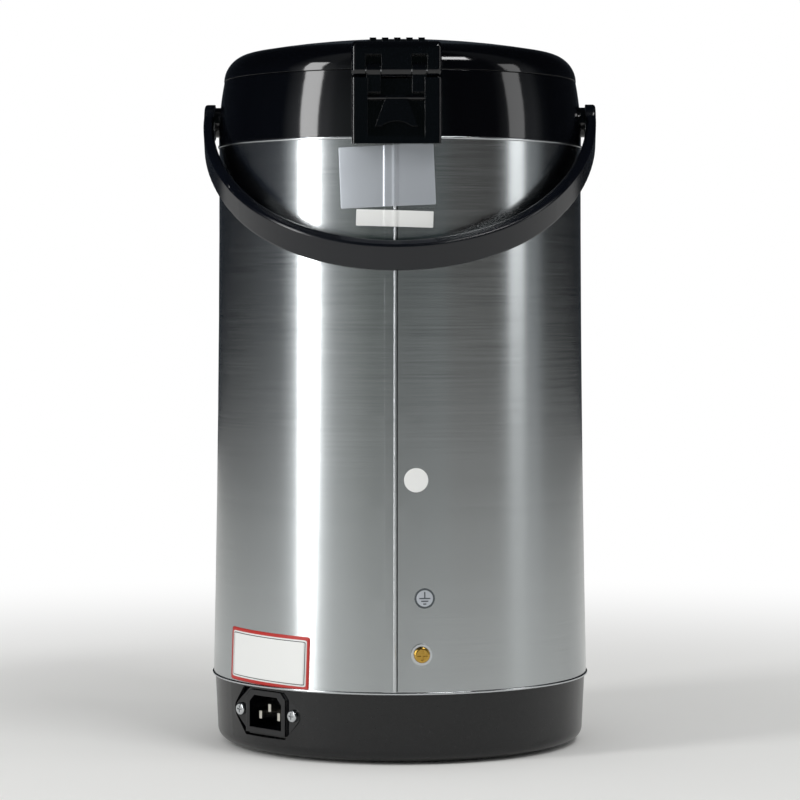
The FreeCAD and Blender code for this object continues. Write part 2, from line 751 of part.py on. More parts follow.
def rubber_feet():
    """Four rubber feet seated in the turntable."""
    feet = []
    for angle in foot_places():
        foot = Part.makeCylinder(FOOT_R, RING_BOTTOM_Z + FOOT_SEAT, polar(FOOT_CIRCLE_R, angle, 0))
        feet.append(fillet_where(foot, 0.5, lambda e: e.BoundBox.ZMax < 0.1))
    return Part.makeCompound(feet)


def earth_rod(radius, inner, outer):
    """Cylinder square to the sleeve at the earth screw, measured from the sleeve's face."""
    face = sleeve_r(EARTH_Z)
    angle = math.degrees(math.acos(EARTH_X / face))
    return rod(radius, polar(face + inner, angle, EARTH_Z), polar(face + outer, angle, EARTH_Z))


def earth_washer():
    """Silver ring under the earth screw's head, fitted to the sleeve's curve."""
    plate = earth_rod(EARTH_RING_R, -1, EARTH_RING_THICK).cut(sleeve_core(0))
    return plate.cut(earth_rod(EARTH_SHANK_R, -2, 2))


def earth_screw():
    """Earth screw with a domed head and a cross recess."""
    base = EARTH_RING_THICK
    top = base + EARTH_HEAD_HEIGHT
    head = earth_rod(EARTH_HEAD_R, base, top)
    face = sleeve_r(EARTH_Z)
    angle = math.acos(EARTH_X / face)
    out = V(math.cos(angle), math.sin(angle), 0)
    rim = face + base + EARTH_HEAD_HEIGHT / 2
    head = fillet_where(head, 1.2, lambda e: e.CenterOfMass.dot(out) > rim and e.Length > EARTH_HEAD_R)
    depth = box(face + top - 1.1, face + top + 1, -2.6, 2.6, -0.6, 0.6)
    cross = depth.fuse(box(face + top - 1.1, face + top + 1, -0.6, 0.6, -2.6, 2.6))
    cross.translate(V(0, 0, EARTH_Z))
    head = head.cut(about_z(cross, math.degrees(angle)))
    return head.fuse(earth_rod(EARTH_SHANK_R, -EARTH_SHANK_LENGTH, base))


def inner_liner():
    """Deep-drawn steel liner with a round bottom corner, a flange and the outlet hole."""
    wall = SHEET
    r = LINER_R
    c = LINER_CORNER
    slant = math.sqrt(0.5)

    def corner(inset):
        reach = c - inset
        return arc(V(r - c, 0, LINER_Z0 + inset),
                   V(r - c + reach * slant, 0, LINER_Z0 + c - reach * slant),
                   V(r - inset, 0, LINER_Z0 + c))

    under = LINER_TOP_Z - wall
    points = [V(r, 0, LINER_Z0 + c), V(r, 0, under), V(LINER_FLANGE_R, 0, under),
              V(LINER_FLANGE_R, 0, LINER_TOP_Z),
              V(r - wall, 0, LINER_TOP_Z), V(r - wall, 0, LINER_Z0 + c)]
    edges = [line(a, b) for a, b in zip(points, points[1:])]
    edges.append(corner(wall))
    edges.append(line(V(r - c, 0, LINER_Z0 + wall), V(0, 0, LINER_Z0 + wall)))
    edges.append(line(V(0, 0, LINER_Z0 + wall), V(0, 0, LINER_Z0)))
    edges.append(line(V(0, 0, LINER_Z0), V(r - c, 0, LINER_Z0)))
    edges.append(corner(0))
    liner = turned_edges(edges)
    return liner.cut(rod(TUBE_BORE_R, V(0, OUTLET_Y, LINER_Z0 - 1), V(0, OUTLET_Y, LINER_Z0 + 2)))


def boil_heater():
    """Boiling heater: plate under the liner with the element channel beneath."""
    top = LINER_Z0
    plate = top - HEATER_PLATE
    low = plate - HEATER_TUBE_DROP
    inner = HEATER_TUBE_MID_R - HEATER_TUBE_WIDTH / 2
    outer = HEATER_TUBE_MID_R + HEATER_TUBE_WIDTH / 2
    chamfer = HEATER_TUBE_WIDTH / 5
    outline = [(0, top), (0, plate), (inner, plate), (inner, low + chamfer), (inner + chamfer, low),
               (outer - chamfer, low), (outer, low + chamfer), (outer, plate), (HEATER_R,
                                                                                plate), (HEATER_R, top)]
    return turned(outline)


def heater_bottom():
    """Height of the element channel's underside."""
    return LINER_Z0 - HEATER_PLATE - HEATER_TUBE_DROP


def heater_clamp():
    """Spring-steel bar that presses the heater to the liner, with a raised middle."""
    low = heater_bottom() - CLAMP_THICK
    half = CLAMP_LENGTH / 2
    inner = HEATER_TUBE_MID_R - HEATER_TUBE_WIDTH
    rise = CLAMP_THICK
    points = [(-half, low), (-inner, low), (-inner + rise, low + rise), (inner - rise, low + rise),
              (inner, low),
              (half, low)]
    upper = [(x, z + CLAMP_THICK) for x, z in reversed(points)]
    corners = [V(x, -CLAMP_WIDTH / 2, z) for x, z in points + upper]
    bar = Part.Face(Part.makePolygon(corners + corners[:1])).extrude(V(0, CLAMP_WIDTH, 0))
    return bar.cut(clamp_bolt())


def clamp_bolt():
    """Stud and hexagon nut through the clamp bar."""
    top = LINER_Z0 - HEATER_PLATE
    seat = heater_bottom()
    stud = rod(3.0, V(0, 0, seat - 12), V(0, 0, top))
    corners = [polar(6.4, 60 * i, seat - 5) for i in range(6)]
    nut = Part.Face(Part.makePolygon(corners + corners[:1])).extrude(V(0, 0, 5))
    return stud.fuse(nut)


def warm_heater():
    """Keep-warm band round the liner's side, with its closing lugs at the rear."""
    outer = LINER_R + BAND_THICK
    band = ring(LINER_R, outer, BAND_Z, BAND_Z + BAND_HEIGHT)
    lug = box(-5, 5, LINER_R + BAND_THICK / 2, outer + 8, BAND_Z + 6, BAND_Z + BAND_HEIGHT - 6)
    band = band.fuse(lug)
    band = band.cut(box(-1.5, 1.5, LINER_R - 5, outer + 10, BAND_Z - 1, BAND_Z + BAND_HEIGHT + 1))
    return band.cut(band_bolt())


def band_bolt():
    """Bolt that closes the keep-warm band."""
    z = BAND_Z + BAND_HEIGHT / 2
    y = LINER_R + BAND_THICK + 5
    shank = rod(1.6, V(-8, y, z), V(8, y, z))
    head = rod(2.6, V(5, y, z), V(7.4, y, z))
    return shank.fuse(head)


def thermostat():
    """Disc thermostat pressed to the heater plate."""
    top = LINER_Z0 - HEATER_PLATE
    low = top - THERMOSTAT_HEIGHT
    cap = rod(THERMOSTAT_R, V(0, SENSOR_OFFSET, low + 4), V(0, SENSOR_OFFSET, top))
    stem = rod(THERMOSTAT_R - 2, V(0, SENSOR_OFFSET, low), V(0, SENSOR_OFFSET, low + 4))
    tabs = box(-6, -5.2, SENSOR_OFFSET - 3, SENSOR_OFFSET + 3, low - 6, low)
    tabs = tabs.fuse(box(5.2, 6, SENSOR_OFFSET - 3, SENSOR_OFFSET + 3, low - 6, low))
    return cap.fuse(stem).fuse(tabs)


def thermal_cutout():
    """One-shot thermal cut-out lying against the heater plate."""
    top = LINER_Z0 - HEATER_PLATE
    half = CUTOUT_SIZE / 2
    axis_z = top - half
    body = box(-CUTOUT_LENGTH / 2, CUTOUT_LENGTH / 2, -SENSOR_OFFSET - half, -SENSOR_OFFSET + half,
               top - CUTOUT_SIZE, top)
    wires = rod(0.6, V(-14, -SENSOR_OFFSET, axis_z), V(14, -SENSOR_OFFSET, axis_z))
    return body.fuse(wires)


def terminal_block():
    """Screw terminal block on the bottom cover."""
    half = BLOCK_WAYS * BLOCK_PITCH / 2
    block = box(-half, half, BLOCK_Y - BLOCK_DEPTH / 2, BLOCK_Y + BLOCK_DEPTH / 2, LEDGE_Z,
                LEDGE_Z + BLOCK_HEIGHT)
    for i in range(BLOCK_WAYS):
        x = BLOCK_PITCH * (i + 0.5) - half
        well = Part.makeCylinder(BLOCK_PITCH * 0.24, BLOCK_HEIGHT,
                                 V(x, BLOCK_Y, LEDGE_Z + BLOCK_HEIGHT / 2))
        block = block.cut(well)
    return block


def control_board():
    """Control board with its relay, capacitor and stand-offs."""
    low = LEDGE_Z
    level = low + BOARD_LIFT
    top = level + BOARD_THICK
    board = box(-BOARD_HALF, BOARD_HALF, BOARD_Y0, BOARD_Y1, level, top)
    for x in (STANDOFF_INSET - BOARD_HALF, BOARD_HALF - STANDOFF_INSET):
        for y in (BOARD_Y0 + STANDOFF_INSET, BOARD_Y1 - STANDOFF_INSET):
            board = board.fuse(Part.makeCylinder(STANDOFF_R, BOARD_LIFT, V(x, y, low)))
    relay = box(-26, -8, BOARD_Y0 + 6, BOARD_Y0 + 18, top, top + 11.4)
    capacitor = Part.makeCylinder(5, 14, V(6, BOARD_Y0 + 12, top))
    transformer = box(14, 26, BOARD_Y0 + 4, BOARD_Y0 + 24, top, top + 6.4)
    return board.fuse(relay).fuse(capacitor).fuse(transformer)


def lower_elbow():
    """Elbow from the liner's outlet to the riser."""
    points = [V(0, OUTLET_Y, LINER_Z0), V(0, OUTLET_Y, ELBOW_LOW_Z), V(0, RISER_Y, ELBOW_LOW_Z),
              V(0, RISER_Y, RISER_Z0)]
    return swept_tube(points, TUBE_BEND_R, TUBE_R, TUBE_BORE_R)


def riser_tube():
    """Clear riser that is also the level gauge, with a stop for the float."""
    outline = [(TUBE_BORE_R, RISER_Z0), (TUBE_R, RISER_Z0), (TUBE_R, RISER_Z1), (TUBE_BORE_R, RISER_Z1),
               (TUBE_BORE_R, FLOAT_STOP_Z), (FLOAT_STOP_R, FLOAT_STOP_Z), (FLOAT_STOP_R,
                                                                           FLOAT_STOP_Z - 1.5),
               (TUBE_BORE_R, FLOAT_STOP_Z - 3)]
    riser = turned(outline)
    riser.translate(V(0, RISER_Y, 0))
    return riser


def gauge_float():
    """Small float that shows the water level in the riser."""
    low = V(0, RISER_Y, FLOAT_STOP_Z + GAP)
    body = rod(FLOAT_R, low, low.add(V(0, 0, FLOAT_LENGTH)))
    return body.makeFillet(FLOAT_R / 2, [e for e in body.Edges if e.Curve.TypeId == "Part::GeomCircle"])


def upper_elbow():
    """Elbow over the top, from the riser to the nozzle."""
    points = [V(0, RISER_Y, RISER_Z1), V(0, RISER_Y, SPOUT_RUN_Z + 2), V(0, NOZZLE_Y, SPOUT_RUN_Z),
              V(0, NOZZLE_Y, nozzle_flange_z())]
    return swept_tube(points, SPOUT_BEND_R, TUBE_R, TUBE_BORE_R)


def nozzle_flange_z():
    """Top of the nozzle's flange, inside the hood."""
    return hood_floor_z(NOZZLE_Y) + HOOD_WALL + 3


def hood_floor_z(y):
    """Height of the hood's underside at a distance from the axis."""
    root = HOOD_ROOT_Y - 10
    share = min(1.0, max(0.0, (root - y) / (HOOD_REACH + root) * 1.6))
    return HOOD_BOTTOM_Z + (HOOD_NOSE_BOTTOM_Z - HOOD_BOTTOM_Z) * share


def spout_nozzle():
    """Tapered outlet nozzle with its flange inside the hood."""
    top = nozzle_flange_z()
    seat = hood_floor_z(NOZZLE_Y) + HOOD_WALL
    outline = [(NOZZLE_BORE_R, NOZZLE_TIP_Z), (NOZZLE_TIP_R, NOZZLE_TIP_Z),
               (NOZZLE_TIP_R + 0.8, NOZZLE_TIP_Z + 2),
               (NOZZLE_TOP_R, seat - HOOD_WALL), (NOZZLE_TOP_R, seat), (NOZZLE_FLANGE_R, seat),
               (NOZZLE_FLANGE_R, seat + 2), (TUBE_R + 2, top), (TUBE_BORE_R, top), (TUBE_BORE_R, top - 2),
               (NOZZLE_BORE_R, top - 6)]
    nozzle = turned(outline)
    nozzle.translate(V(0, NOZZLE_Y, 0))
    return nozzle


def hood_plan(wall, z0, z1):
    """The hood's outline from above, moved in by a wall and extruded."""
    root = HOOD_ROOT_HALF - wall
    nose = HOOD_NOSE_HALF - wall
    y_root = HOOD_ROOT_Y
    y_nose = -HOOD_REACH + HOOD_NOSE_BULGE
    edges = [
        line(V(-nose, y_nose, z0), V(-root, y_root, z0)),
        line(V(-root, y_root, z0), V(root, y_root, z0)),
        line(V(root, y_root, z0), V(nose, y_nose, z0)),
        arc(V(nose, y_nose, z0), V(0, -HOOD_REACH + wall, z0), V(-nose, y_nose, z0)),
    ]
    return Part.Face(Part.Wire(edges)).extrude(V(0, 0, z1 - z0))


def hood_side(top_drop, floor_lift, floor_top=None):
    """The hood's outline from the side, extruded across the hood."""
    half = HOOD_ROOT_HALF + 5
    reach = HOOD_REACH + 5
    knee = HOOD_ROOT_Y - 10 - (HOOD_REACH + HOOD_ROOT_Y - 10) / 1.6
    root = V(-half, HOOD_ROOT_Y + 5, HOOD_TOP_Z - top_drop)
    nose = V(-half, -reach, HOOD_NOSE_TOP_Z - top_drop - 3)
    crest = V(-half, (root.y + nose.y) / 2, (root.z + nose.z) / 2 + 3.5)
    low = [V(-half, -reach, HOOD_NOSE_BOTTOM_Z + floor_lift),
           V(-half, knee, HOOD_NOSE_BOTTOM_Z + floor_lift),
           V(-half, HOOD_ROOT_Y - 10, HOOD_BOTTOM_Z + floor_lift),
           V(-half, HOOD_ROOT_Y + 5, HOOD_BOTTOM_Z + floor_lift)]
    if floor_top is None:
        edges = [arc(root, crest, nose), line(nose, low[0])]
        edges += [line(a, b) for a, b in zip(low, low[1:])]
        edges.append(line(low[-1], root))
        face = Part.Face(Part.Wire(edges))
    else:
        high = [p.add(V(0, 0, floor_top)) for p in reversed(low)]
        face = Part.Face(Part.makePolygon(low + high + low[:1]))
    return face.extrude(V(2 * half, 0, 0))


def spout_cover():
    """Lower cover of the hood, round the nozzle."""
    cover = hood_plan(HOOD_WALL, HOOD_BOTTOM_Z - 5, HOOD_TOP_Z).common(hood_side(0, 0, HOOD_WALL))
    cover = cover.cut(Part.makeCylinder(SLEEVE_TOP_R + LIP_STEP + GAP, 100, V(0, 0, HOOD_BOTTOM_Z - 20)))
    return cover.cut(Part.makeCylinder(NOZZLE_TOP_R, 60, V(0, NOZZLE_Y, HOOD_BOTTOM_Z - 10)))


def collar_side():
    """Three points of the arc up the collar's outer side."""
    return [V(COLLAR_LOW_R, 0, SLEEVE_Z1), V(COLLAR_MID_R, 0, COLLAR_MID_Z),
            V(COLLAR_TOP_R, 0, COLLAR_TOP_Z)]


def spout_hood():
    """Hood over the nozzle: an open-backed shell that seats on the collar's front."""
    hood = hood_plan(0, HOOD_BOTTOM_Z, HOOD_TOP_Z + 5).common(hood_side(0, 0))
    hood = hood.cut(hood_plan(HOOD_WALL, HOOD_BOTTOM_Z - 5, HOOD_TOP_Z + 5).common(hood_side(HOOD_WALL,
                                                                                             -10)))
    clear_of_steel = Part.makeCylinder(SLEEVE_TOP_R + LIP_STEP + GAP, SLEEVE_Z1 - HOOD_BOTTOM_Z + 5,
                                       V(0, 0, HOOD_BOTTOM_Z - 5))
    side = collar_side()
    axis_low = V(0, 0, side[0].z)
    axis_top = V(0, 0, side[2].z)
    collar_filled = turned_edges([arc(*side), line(side[2], axis_top), line(axis_top, axis_low),
                                  line(axis_low, side[0])])
    return hood.cut(clear_of_steel).cut(collar_filled)


def collar_form():
    """The collar in one: mouth funnel, handle bosses and the rear hinge housing."""
    low = SLEEVE_Z1
    foot = LINER_TOP_Z
    wall = COLLAR_WALL
    inner_top = COLLAR_TOP_Z - wall
    outside = collar_side()
    inside = [V(COLLAR_LOW_R - wall, 0, low), V(COLLAR_MID_R - wall, 0, COLLAR_MID_Z - wall / 2),
              V(COLLAR_TOP_R - wall, 0, inner_top)]
    foot_top = foot + COLLAR_FOOT_HEIGHT
    points = [outside[2], V(MOUTH_TOP_R + 1.5, 0, COLLAR_TOP_Z), V(MOUTH_TOP_R, 0, COLLAR_TOP_Z - 1.9),
              V(MOUTH_LOW_R, 0, foot + 0.6), V(MOUTH_LOW_R - 0.6, 0, foot), V(LINER_FLANGE_R, 0, foot),
              V(LINER_FLANGE_R, 0, foot_top - 1), V(MOUTH_LOW_R + wall, 0, foot_top),
              V(MOUTH_TOP_R + wall - 1, 0, inner_top), inside[2]]
    edges = [arc(*outside), arc(*inside), line(inside[0], outside[0])]
    edges += [line(a, b) for a, b in zip(points, points[1:])]
    body = turned_edges(edges)
    mouth = turned([(0, foot - 20), (MOUTH_LOW_R, foot - 20), (MOUTH_LOW_R, foot + 0.6),
                    (MOUTH_TOP_R, COLLAR_TOP_Z - 1.9), (MOUTH_TOP_R, COLLAR_TOP_Z + 20), (0,
                                                                                          COLLAR_TOP_Z + 20)])
    passage = box(-TUBE_R - 3, TUBE_R + 3, -COLLAR_LOW_R - 3, RISER_Y + TUBE_R + 1, SLEEVE_Z1 - 1,
                  SPOUT_RUN_Z + 9)
    body = body.cut(passage)
    body = body.fuse(hinge_housing()).cut(mouth)
    for side in (-1, 1):
        boss = rod(SIDE_BOSS_R, V(side * (COLLAR_LOW_R - wall), 0, PIVOT_Z),
                   V(side * (BAIL_INNER_HALF - GAP), 0, PIVOT_Z))
        body = body.fuse(boss)
    body = body.cut(handle_pivots())
    return body


def catch_block():
    """Block in the collar's front that the latch's catch fills."""
    return box(-CATCH_HALF, CATCH_HALF, -COLLAR_LOW_R, -MOUTH_LOW_R, CATCH_LOW_Z, COLLAR_TOP_Z + 1)


def collar():
    """Moulded collar, with the place of the latch's catch left open."""
    return collar_form().cut(catch_block())


def latch_catch():
    """Catch insert in the collar's rim: two blocks and a thin wall round the hook's room."""
    room_half = HOOK_HALF + HOOK_SIDE_ROOM
    room = box(-room_half, room_half, LATCH_Y0 - HOOK_FRONT_ROOM, HOOK_BACK_ROOM - MOUTH_TOP_R,
               HOOK_Z - HOOK_LOW_ROOM, COLLAR_TOP_Z + 1)
    return collar_form().common(catch_block()).cut(room)


def hinge_housing():
    """Housing behind the collar: cheeks, recess, sill and the two ears that hold the pin."""
    block = box(-BLOCK_HALF, BLOCK_HALF, MOUTH_TOP_R + 3, BLOCK_REAR_Y, BLOCK_BOTTOM_Z, HOUSING_TOP_Z)
    block = fillet_where(block, 2.0,
                         lambda e: abs(e.BoundBox.ZLength) > 20 and e.BoundBox.YMin > BLOCK_REAR_Y - 1)
    clear = Part.makeCylinder(SLEEVE_TOP_R + LIP_STEP + GAP, SLEEVE_Z1 - BLOCK_BOTTOM_Z + 5,
                              V(0, 0, BLOCK_BOTTOM_Z - 5))
    hollow = Part.makeCylinder(COLLAR_LOW_R - COLLAR_WALL, 100, V(0, 0, BLOCK_BOTTOM_Z - 5))
    block = block.cut(clear).cut(hollow)
    block = block.cut(box(-RECESS_HALF, RECESS_HALF, RECESS_BACK_Y, BLOCK_REAR_Y + 5, RECESS_Z,
                          HOUSING_TOP_Z + 5))
    outline = [(COLLAR_TOP_R, EAR_LOW_Z), (BLOCK_REAR_Y - EAR_FACE_INSET, EAR_LOW_Z),
               (BLOCK_REAR_Y - EAR_FACE_INSET + 0.1, HINGE_Z - EAR_FACE_INSET - 0.5),
               (HINGE_Y, HINGE_Z), (HINGE_Y - BARREL_R, HINGE_Z), (HINGE_Y - BARREL_R, HINGE_Z - 4),
               (COLLAR_TOP_R, HOUSING_TOP_Z)]
    for side in (-1, 1):
        a = side * EAR_INNER
        b = side * EAR_OUTER
        ear = prism_x(outline, a, b)
        ear = ear.fuse(rod(BARREL_R, V(a, HINGE_Y, HINGE_Z), V(b, HINGE_Y, HINGE_Z)))
        block = block.fuse(ear)
        hole = rod(RELEASE_ROD_R + RUNNING, V(0, RELEASE_Y, RELEASE_Z),
                   V(side * release_rod_end(), RELEASE_Y, RELEASE_Z))
        block = block.cut(hole)
    return block.cut(hinge_pin())


def release_rod_end():
    """Half length of the release lever's pivot rod, with end room."""
    return RECESS_HALF + 2.3


def lid_release():
    """Release lever in the recess: a plate that widens downwards, with a finger notch."""
    low = RELEASE_Z - RELEASE_LENGTH
    back = RELEASE_Y - RELEASE_THICK / 2
    top = RELEASE_Z + RELEASE_ROD_R
    corners = [V(-RELEASE_LOW_HALF, back, low), V(RELEASE_LOW_HALF, back, low),
               V(RELEASE_TOP_HALF, back, top),
               V(-RELEASE_TOP_HALF, back, top)]
    plate = Part.Face(Part.makePolygon(corners + corners[:1])).extrude(V(0, RELEASE_THICK, 0))
    notch_z = low + RELEASE_NOTCH_DEPTH - RELEASE_NOTCH_R
    plate = plate.cut(rod(RELEASE_NOTCH_R, V(0, back - 1, notch_z),
                          V(0, back + 2 * RELEASE_THICK, notch_z)))
    end = release_rod_end() - GAP
    return plate.fuse(rod(RELEASE_ROD_R, V(-end, RELEASE_Y, RELEASE_Z), V(end, RELEASE_Y, RELEASE_Z)))


def hinge_pin():
    """Steel hinge pin, held in the housing's ears."""
    end = BLOCK_HALF - 3.4
    return rod(HINGE_PIN_R, V(-end, HINGE_Y, HINGE_Z), V(end, HINGE_Y, HINGE_Z))


def handle_pivots():
    """The two stubs that the handle turns on."""
    stubs = []
    for side in (-1, 1):
        inner = COLLAR_LOW_R - COLLAR_WALL - 3
        stubs.append(rod(STUB_R, V(side * inner, 0, PIVOT_Z),
                         V(side * (BAIL_INNER_HALF + STUB_LENGTH), 0, PIVOT_Z)))
    return Part.makeCompound(stubs)


def dome(inset):
    """Filled solid of the lid's dome, moved in by an inset."""
    crown_r = LID_CROWN_R - inset
    shoulder_r = LID_SHOULDER_R - inset
    crown_z = LID_APEX_Z - LID_CROWN_R
    centre_r = LID_R - LID_SHOULDER_R
    centre_z = crown_z + math.sqrt((LID_CROWN_R - LID_SHOULDER_R) ** 2 - centre_r ** 2)
    lean = math.asin(centre_r / (LID_CROWN_R - LID_SHOULDER_R))
    join = V(crown_r * math.sin(lean), 0, crown_z + crown_r * math.cos(lean))
    half = lean / 2
    over = V(crown_r * math.sin(half), 0, crown_z + crown_r * math.cos(half))
    apex = V(0, 0, crown_z + crown_r)
    turn = (lean + math.pi / 2) / 2
    bend = V(centre_r + shoulder_r * math.sin(turn), 0, centre_z + shoulder_r * math.cos(turn))
    side = V(centre_r + shoulder_r, 0, centre_z)
    rim = V(side.x, 0, LID_RIM_Z)
    if abs(rim.z - side.z) > 0.01 and rim.z > side.z:
        sink = rim.z - side.z
        side = V(centre_r + math.sqrt(shoulder_r ** 2 - sink ** 2), 0, rim.z)
        turn = (lean + math.asin(min(1.0, (side.x - centre_r) / shoulder_r))) / 2
        bend = V(centre_r + shoulder_r * math.sin(turn), 0, centre_z + shoulder_r * math.cos(turn))
    edges = [arc(apex, over, join), arc(join, bend, side)]
    foot = V(0, 0, LID_RIM_Z)
    if rim.z < side.z - 0.01:
        edges.append(line(side, rim))
        edges.append(line(rim, foot))
    else:
        edges.append(line(side, foot))
    edges.append(line(foot, apex))
    return turned_edges(edges)


def well_r():
    """Radius of the well that the pump plate runs in."""
    return PUMP_R + WELL_GAP


def vent_block(grow):
    """Prism of the steam vent's seat in the dome."""
    return box(-VENT_HALF - grow, VENT_HALF + grow, VENT_Y0 - grow, VENT_Y1 + grow, LID_RIM_Z,
               LID_APEX_Z + 5)


def hinge_lug():
    """Lug at the rear of the lid: cheeks and middle knuckle round the pin, slots for the ears."""
    round_r = 4.0
    face = BLOCK_REAR_Y
    top = LUG_TOP_Z
    slope = 1.6
    nick = math.sqrt(0.5)
    barrel = [V(0, face, HINGE_Z), V(0, HINGE_Y + BARREL_R * nick, HINGE_Z - BARREL_R * nick),
              V(0, HINGE_Y, HINGE_Z - BARREL_R)]
    crest = [V(0, face - round_r, top), V(0, face - round_r * (1 - nick), top - round_r * (1 - nick)),
             V(0, face, top - round_r)]
    step_y = HINGE_Y - BARREL_R
    edges = [
        line(V(0, LUG_FRONT_Y, top + slope), crest[0]),
        arc(*crest),
        line(crest[2], barrel[0]),
        arc(*barrel),
        line(barrel[2], V(0, step_y, barrel[2].z)),
        line(V(0, step_y, barrel[2].z), V(0, step_y, LID_RIM_Z)),
        line(V(0, step_y, LID_RIM_Z), V(0, LUG_FRONT_Y, LID_RIM_Z)),
        line(V(0, LUG_FRONT_Y, LID_RIM_Z), V(0, LUG_FRONT_Y, top + slope)),
    ]
    lug = Part.Face(Part.Wire(edges)).extrude(V(2 * BLOCK_HALF, 0, 0))
    lug.translate(V(-BLOCK_HALF, 0, 0))
    lug = fillet_where(lug, 2.2, lambda e: e.BoundBox.ZMin > top - 1 and e.BoundBox.YLength > 10)
    for side in (-1, 1):
        inner = side * (EAR_INNER - GAP)
        outer = side * (EAR_OUTER + GAP)
        slot = box(min(inner, outer), max(inner, outer), HINGE_Y - BARREL_R - 0.4, face + 5,
                   LID_RIM_Z - 10, SLOT_TOP_Z)
        lug = lug.cut(slot)
    end = BLOCK_HALF - 3.2
    return lug.cut(rod(HINGE_PIN_R + RUNNING, V(-end, HINGE_Y, HINGE_Z), V(end, HINGE_Y, HINGE_Z)))


def lid_screw_places(z):
    """Centres of the lid's screws at a height."""
    return [polar(LID_SCREW_CIRCLE_R, angle, z) for angle in LID_SCREW_ANGLES]


def lid_outer():
    """Domed lid shell with the pump well, hinge lug, screw bosses, vent seat and latch pocket."""
    shell = dome(0).cut(dome(LID_WALL))
    r = well_r()
    floor = LID_FLOOR_Z + LID_FLOOR_THICK
    under_crown = dome(LID_WALL / 2)
    column = ring(0, r + WELL_WALL, LID_RIM_Z, LID_APEX_Z).common(under_crown)
    shell = shell.fuse(column).fuse(ring(0, r + WELL_WALL, floor, LID_RIM_Z))
    for place in lid_screw_places(LID_RIM_Z):
        boss = Part.makeCylinder(LID_BOSS_R, LID_APEX_Z - LID_RIM_Z, place).common(under_crown)
        shell = shell.fuse(boss)
        shell = shell.fuse(Part.makeCylinder(LID_BOSS_R, LID_RIM_Z - floor, V(place.x, place.y, floor)))
    lug = hinge_lug()
    hidden = dome(LID_WALL)
    shell = shell.fuse(lug.cut(hidden))
    shell = shell.cut(Part.makeCylinder(r, 100, V(0, 0, floor - 1)))
    shell = shell.cut(vent_block(0).common(box(-50, 50, 0, 99, LID_RIM_Z + LID_WALL, LID_APEX_Z + 9)))
    shell = shell.cut(latch_pocket()).cut(lock_slot())
    shell = shell.cut(latch_pin())
    for place in lid_screw_places(floor - 5):
        shell = shell.cut(Part.makeCylinder(SCREW_R, 17, place))
    return shell


def latch_pocket():
    """Room in the dome for the latch and its travel."""
    return box(-LATCH_HALF - GAP, LATCH_HALF + GAP, -LID_R - 5, LATCH_Y1 + 0.8, LID_RIM_Z - 3, LID_APEX_Z)


def lock_slot():
    """Slot in the dome for the pump lock's stem."""
    return box(-LOCK_LENGTH / 4 - GAP, LOCK_LENGTH / 4 + LOCK_TRAVEL + GAP, LOCK_Y - 1.5 - GAP,
               LOCK_Y + 1.5 + GAP,
               LID_RIM_Z + 5, LID_APEX_Z + 5)


def pump_lock():
    """Sliding pump lock on the dome: a ridged knob, a stem and a foot under the shell."""
    half = LOCK_LENGTH / 2
    top = dome_z(abs(LOCK_Y))
    knob = box(-half, half, LOCK_Y - LOCK_WIDTH / 2, LOCK_Y + LOCK_WIDTH / 2, top - 3, top + LOCK_PROUD)
    knob = knob.cut(dome(-GAP))
    for i in range(3):
        x = -2.4 + 2.4 * i
        knob = knob.fuse(box(x - 0.5, x + 0.5, LOCK_Y - 2.6, LOCK_Y + 2.6, top + LOCK_PROUD - 0.5,
                             top + LOCK_PROUD + 0.6))
    under = top - LID_WALL
    stem = box(-LOCK_LENGTH / 4, LOCK_LENGTH / 4, LOCK_Y - 1.5, LOCK_Y + 1.5, under - 3,
               top + LOCK_PROUD / 2)
    foot = box(-half, half, LOCK_Y - 2.5, LOCK_Y + 2.5, under - 4.5, under - 2)
    return knob.fuse(stem).fuse(foot)


def dome_z(r):
    """Height of the dome's crown at a radius."""
    return LID_APEX_Z - LID_CROWN_R + math.sqrt(LID_CROWN_R ** 2 - r ** 2)


def lid_latch():
    """Front latch: a tab flush with the dome, a hook down to the collar, and the pivot bore."""
    tab = box(-LATCH_HALF, LATCH_HALF, LATCH_Y0, LATCH_Y1, LID_RIM_Z + 3, LID_APEX_Z)
    tab = tab.common(dome(0.3)).cut(dome(0.3 + LATCH_THICK))
    pivot = rod(LATCH_PIN_R + 1.8, V(-LATCH_HALF, LATCH_PIVOT_Y, LATCH_PIVOT_Z),
                V(LATCH_HALF, LATCH_PIVOT_Y, LATCH_PIVOT_Z))
    web = box(-LATCH_HALF, LATCH_HALF, LATCH_PIVOT_Y - 1.4, LATCH_PIVOT_Y + 1.4, LATCH_PIVOT_Z, LID_APEX_Z)
    web = web.common(dome(0.3))
    back = LATCH_Y0 + HOOK_THICK
    hook_low = HOOK_Z
    hook = prism_x([(back, hook_low + 1), (back, LID_APEX_Z), (LATCH_Y0, LID_APEX_Z),
                    (LATCH_Y0, hook_low + 4),
                    (LATCH_Y0 - HOOK_NOSE, hook_low + 4), (LATCH_Y0, hook_low + 1)], -HOOK_HALF, HOOK_HALF)
    hook = hook.common(dome(0.3).fuse(Part.makeCylinder(LID_R - 1, LID_RIM_Z - hook_low + 5,
                                                        V(0, 0, hook_low))))
    latch = tab.fuse(pivot).fuse(web).fuse(hook)
    return latch.cut(rod(LATCH_PIN_R + RUNNING, V(-LATCH_HALF - 1, LATCH_PIVOT_Y, LATCH_PIVOT_Z),
                         V(LATCH_HALF + 1, LATCH_PIVOT_Y, LATCH_PIVOT_Z)))


def latch_pin():
    """Pivot pin of the latch, held in the pocket's sides."""
    end = LATCH_HALF + 3.5
    return rod(LATCH_PIN_R, V(-end, LATCH_PIVOT_Y, LATCH_PIVOT_Z), V(end, LATCH_PIVOT_Y, LATCH_PIVOT_Z))


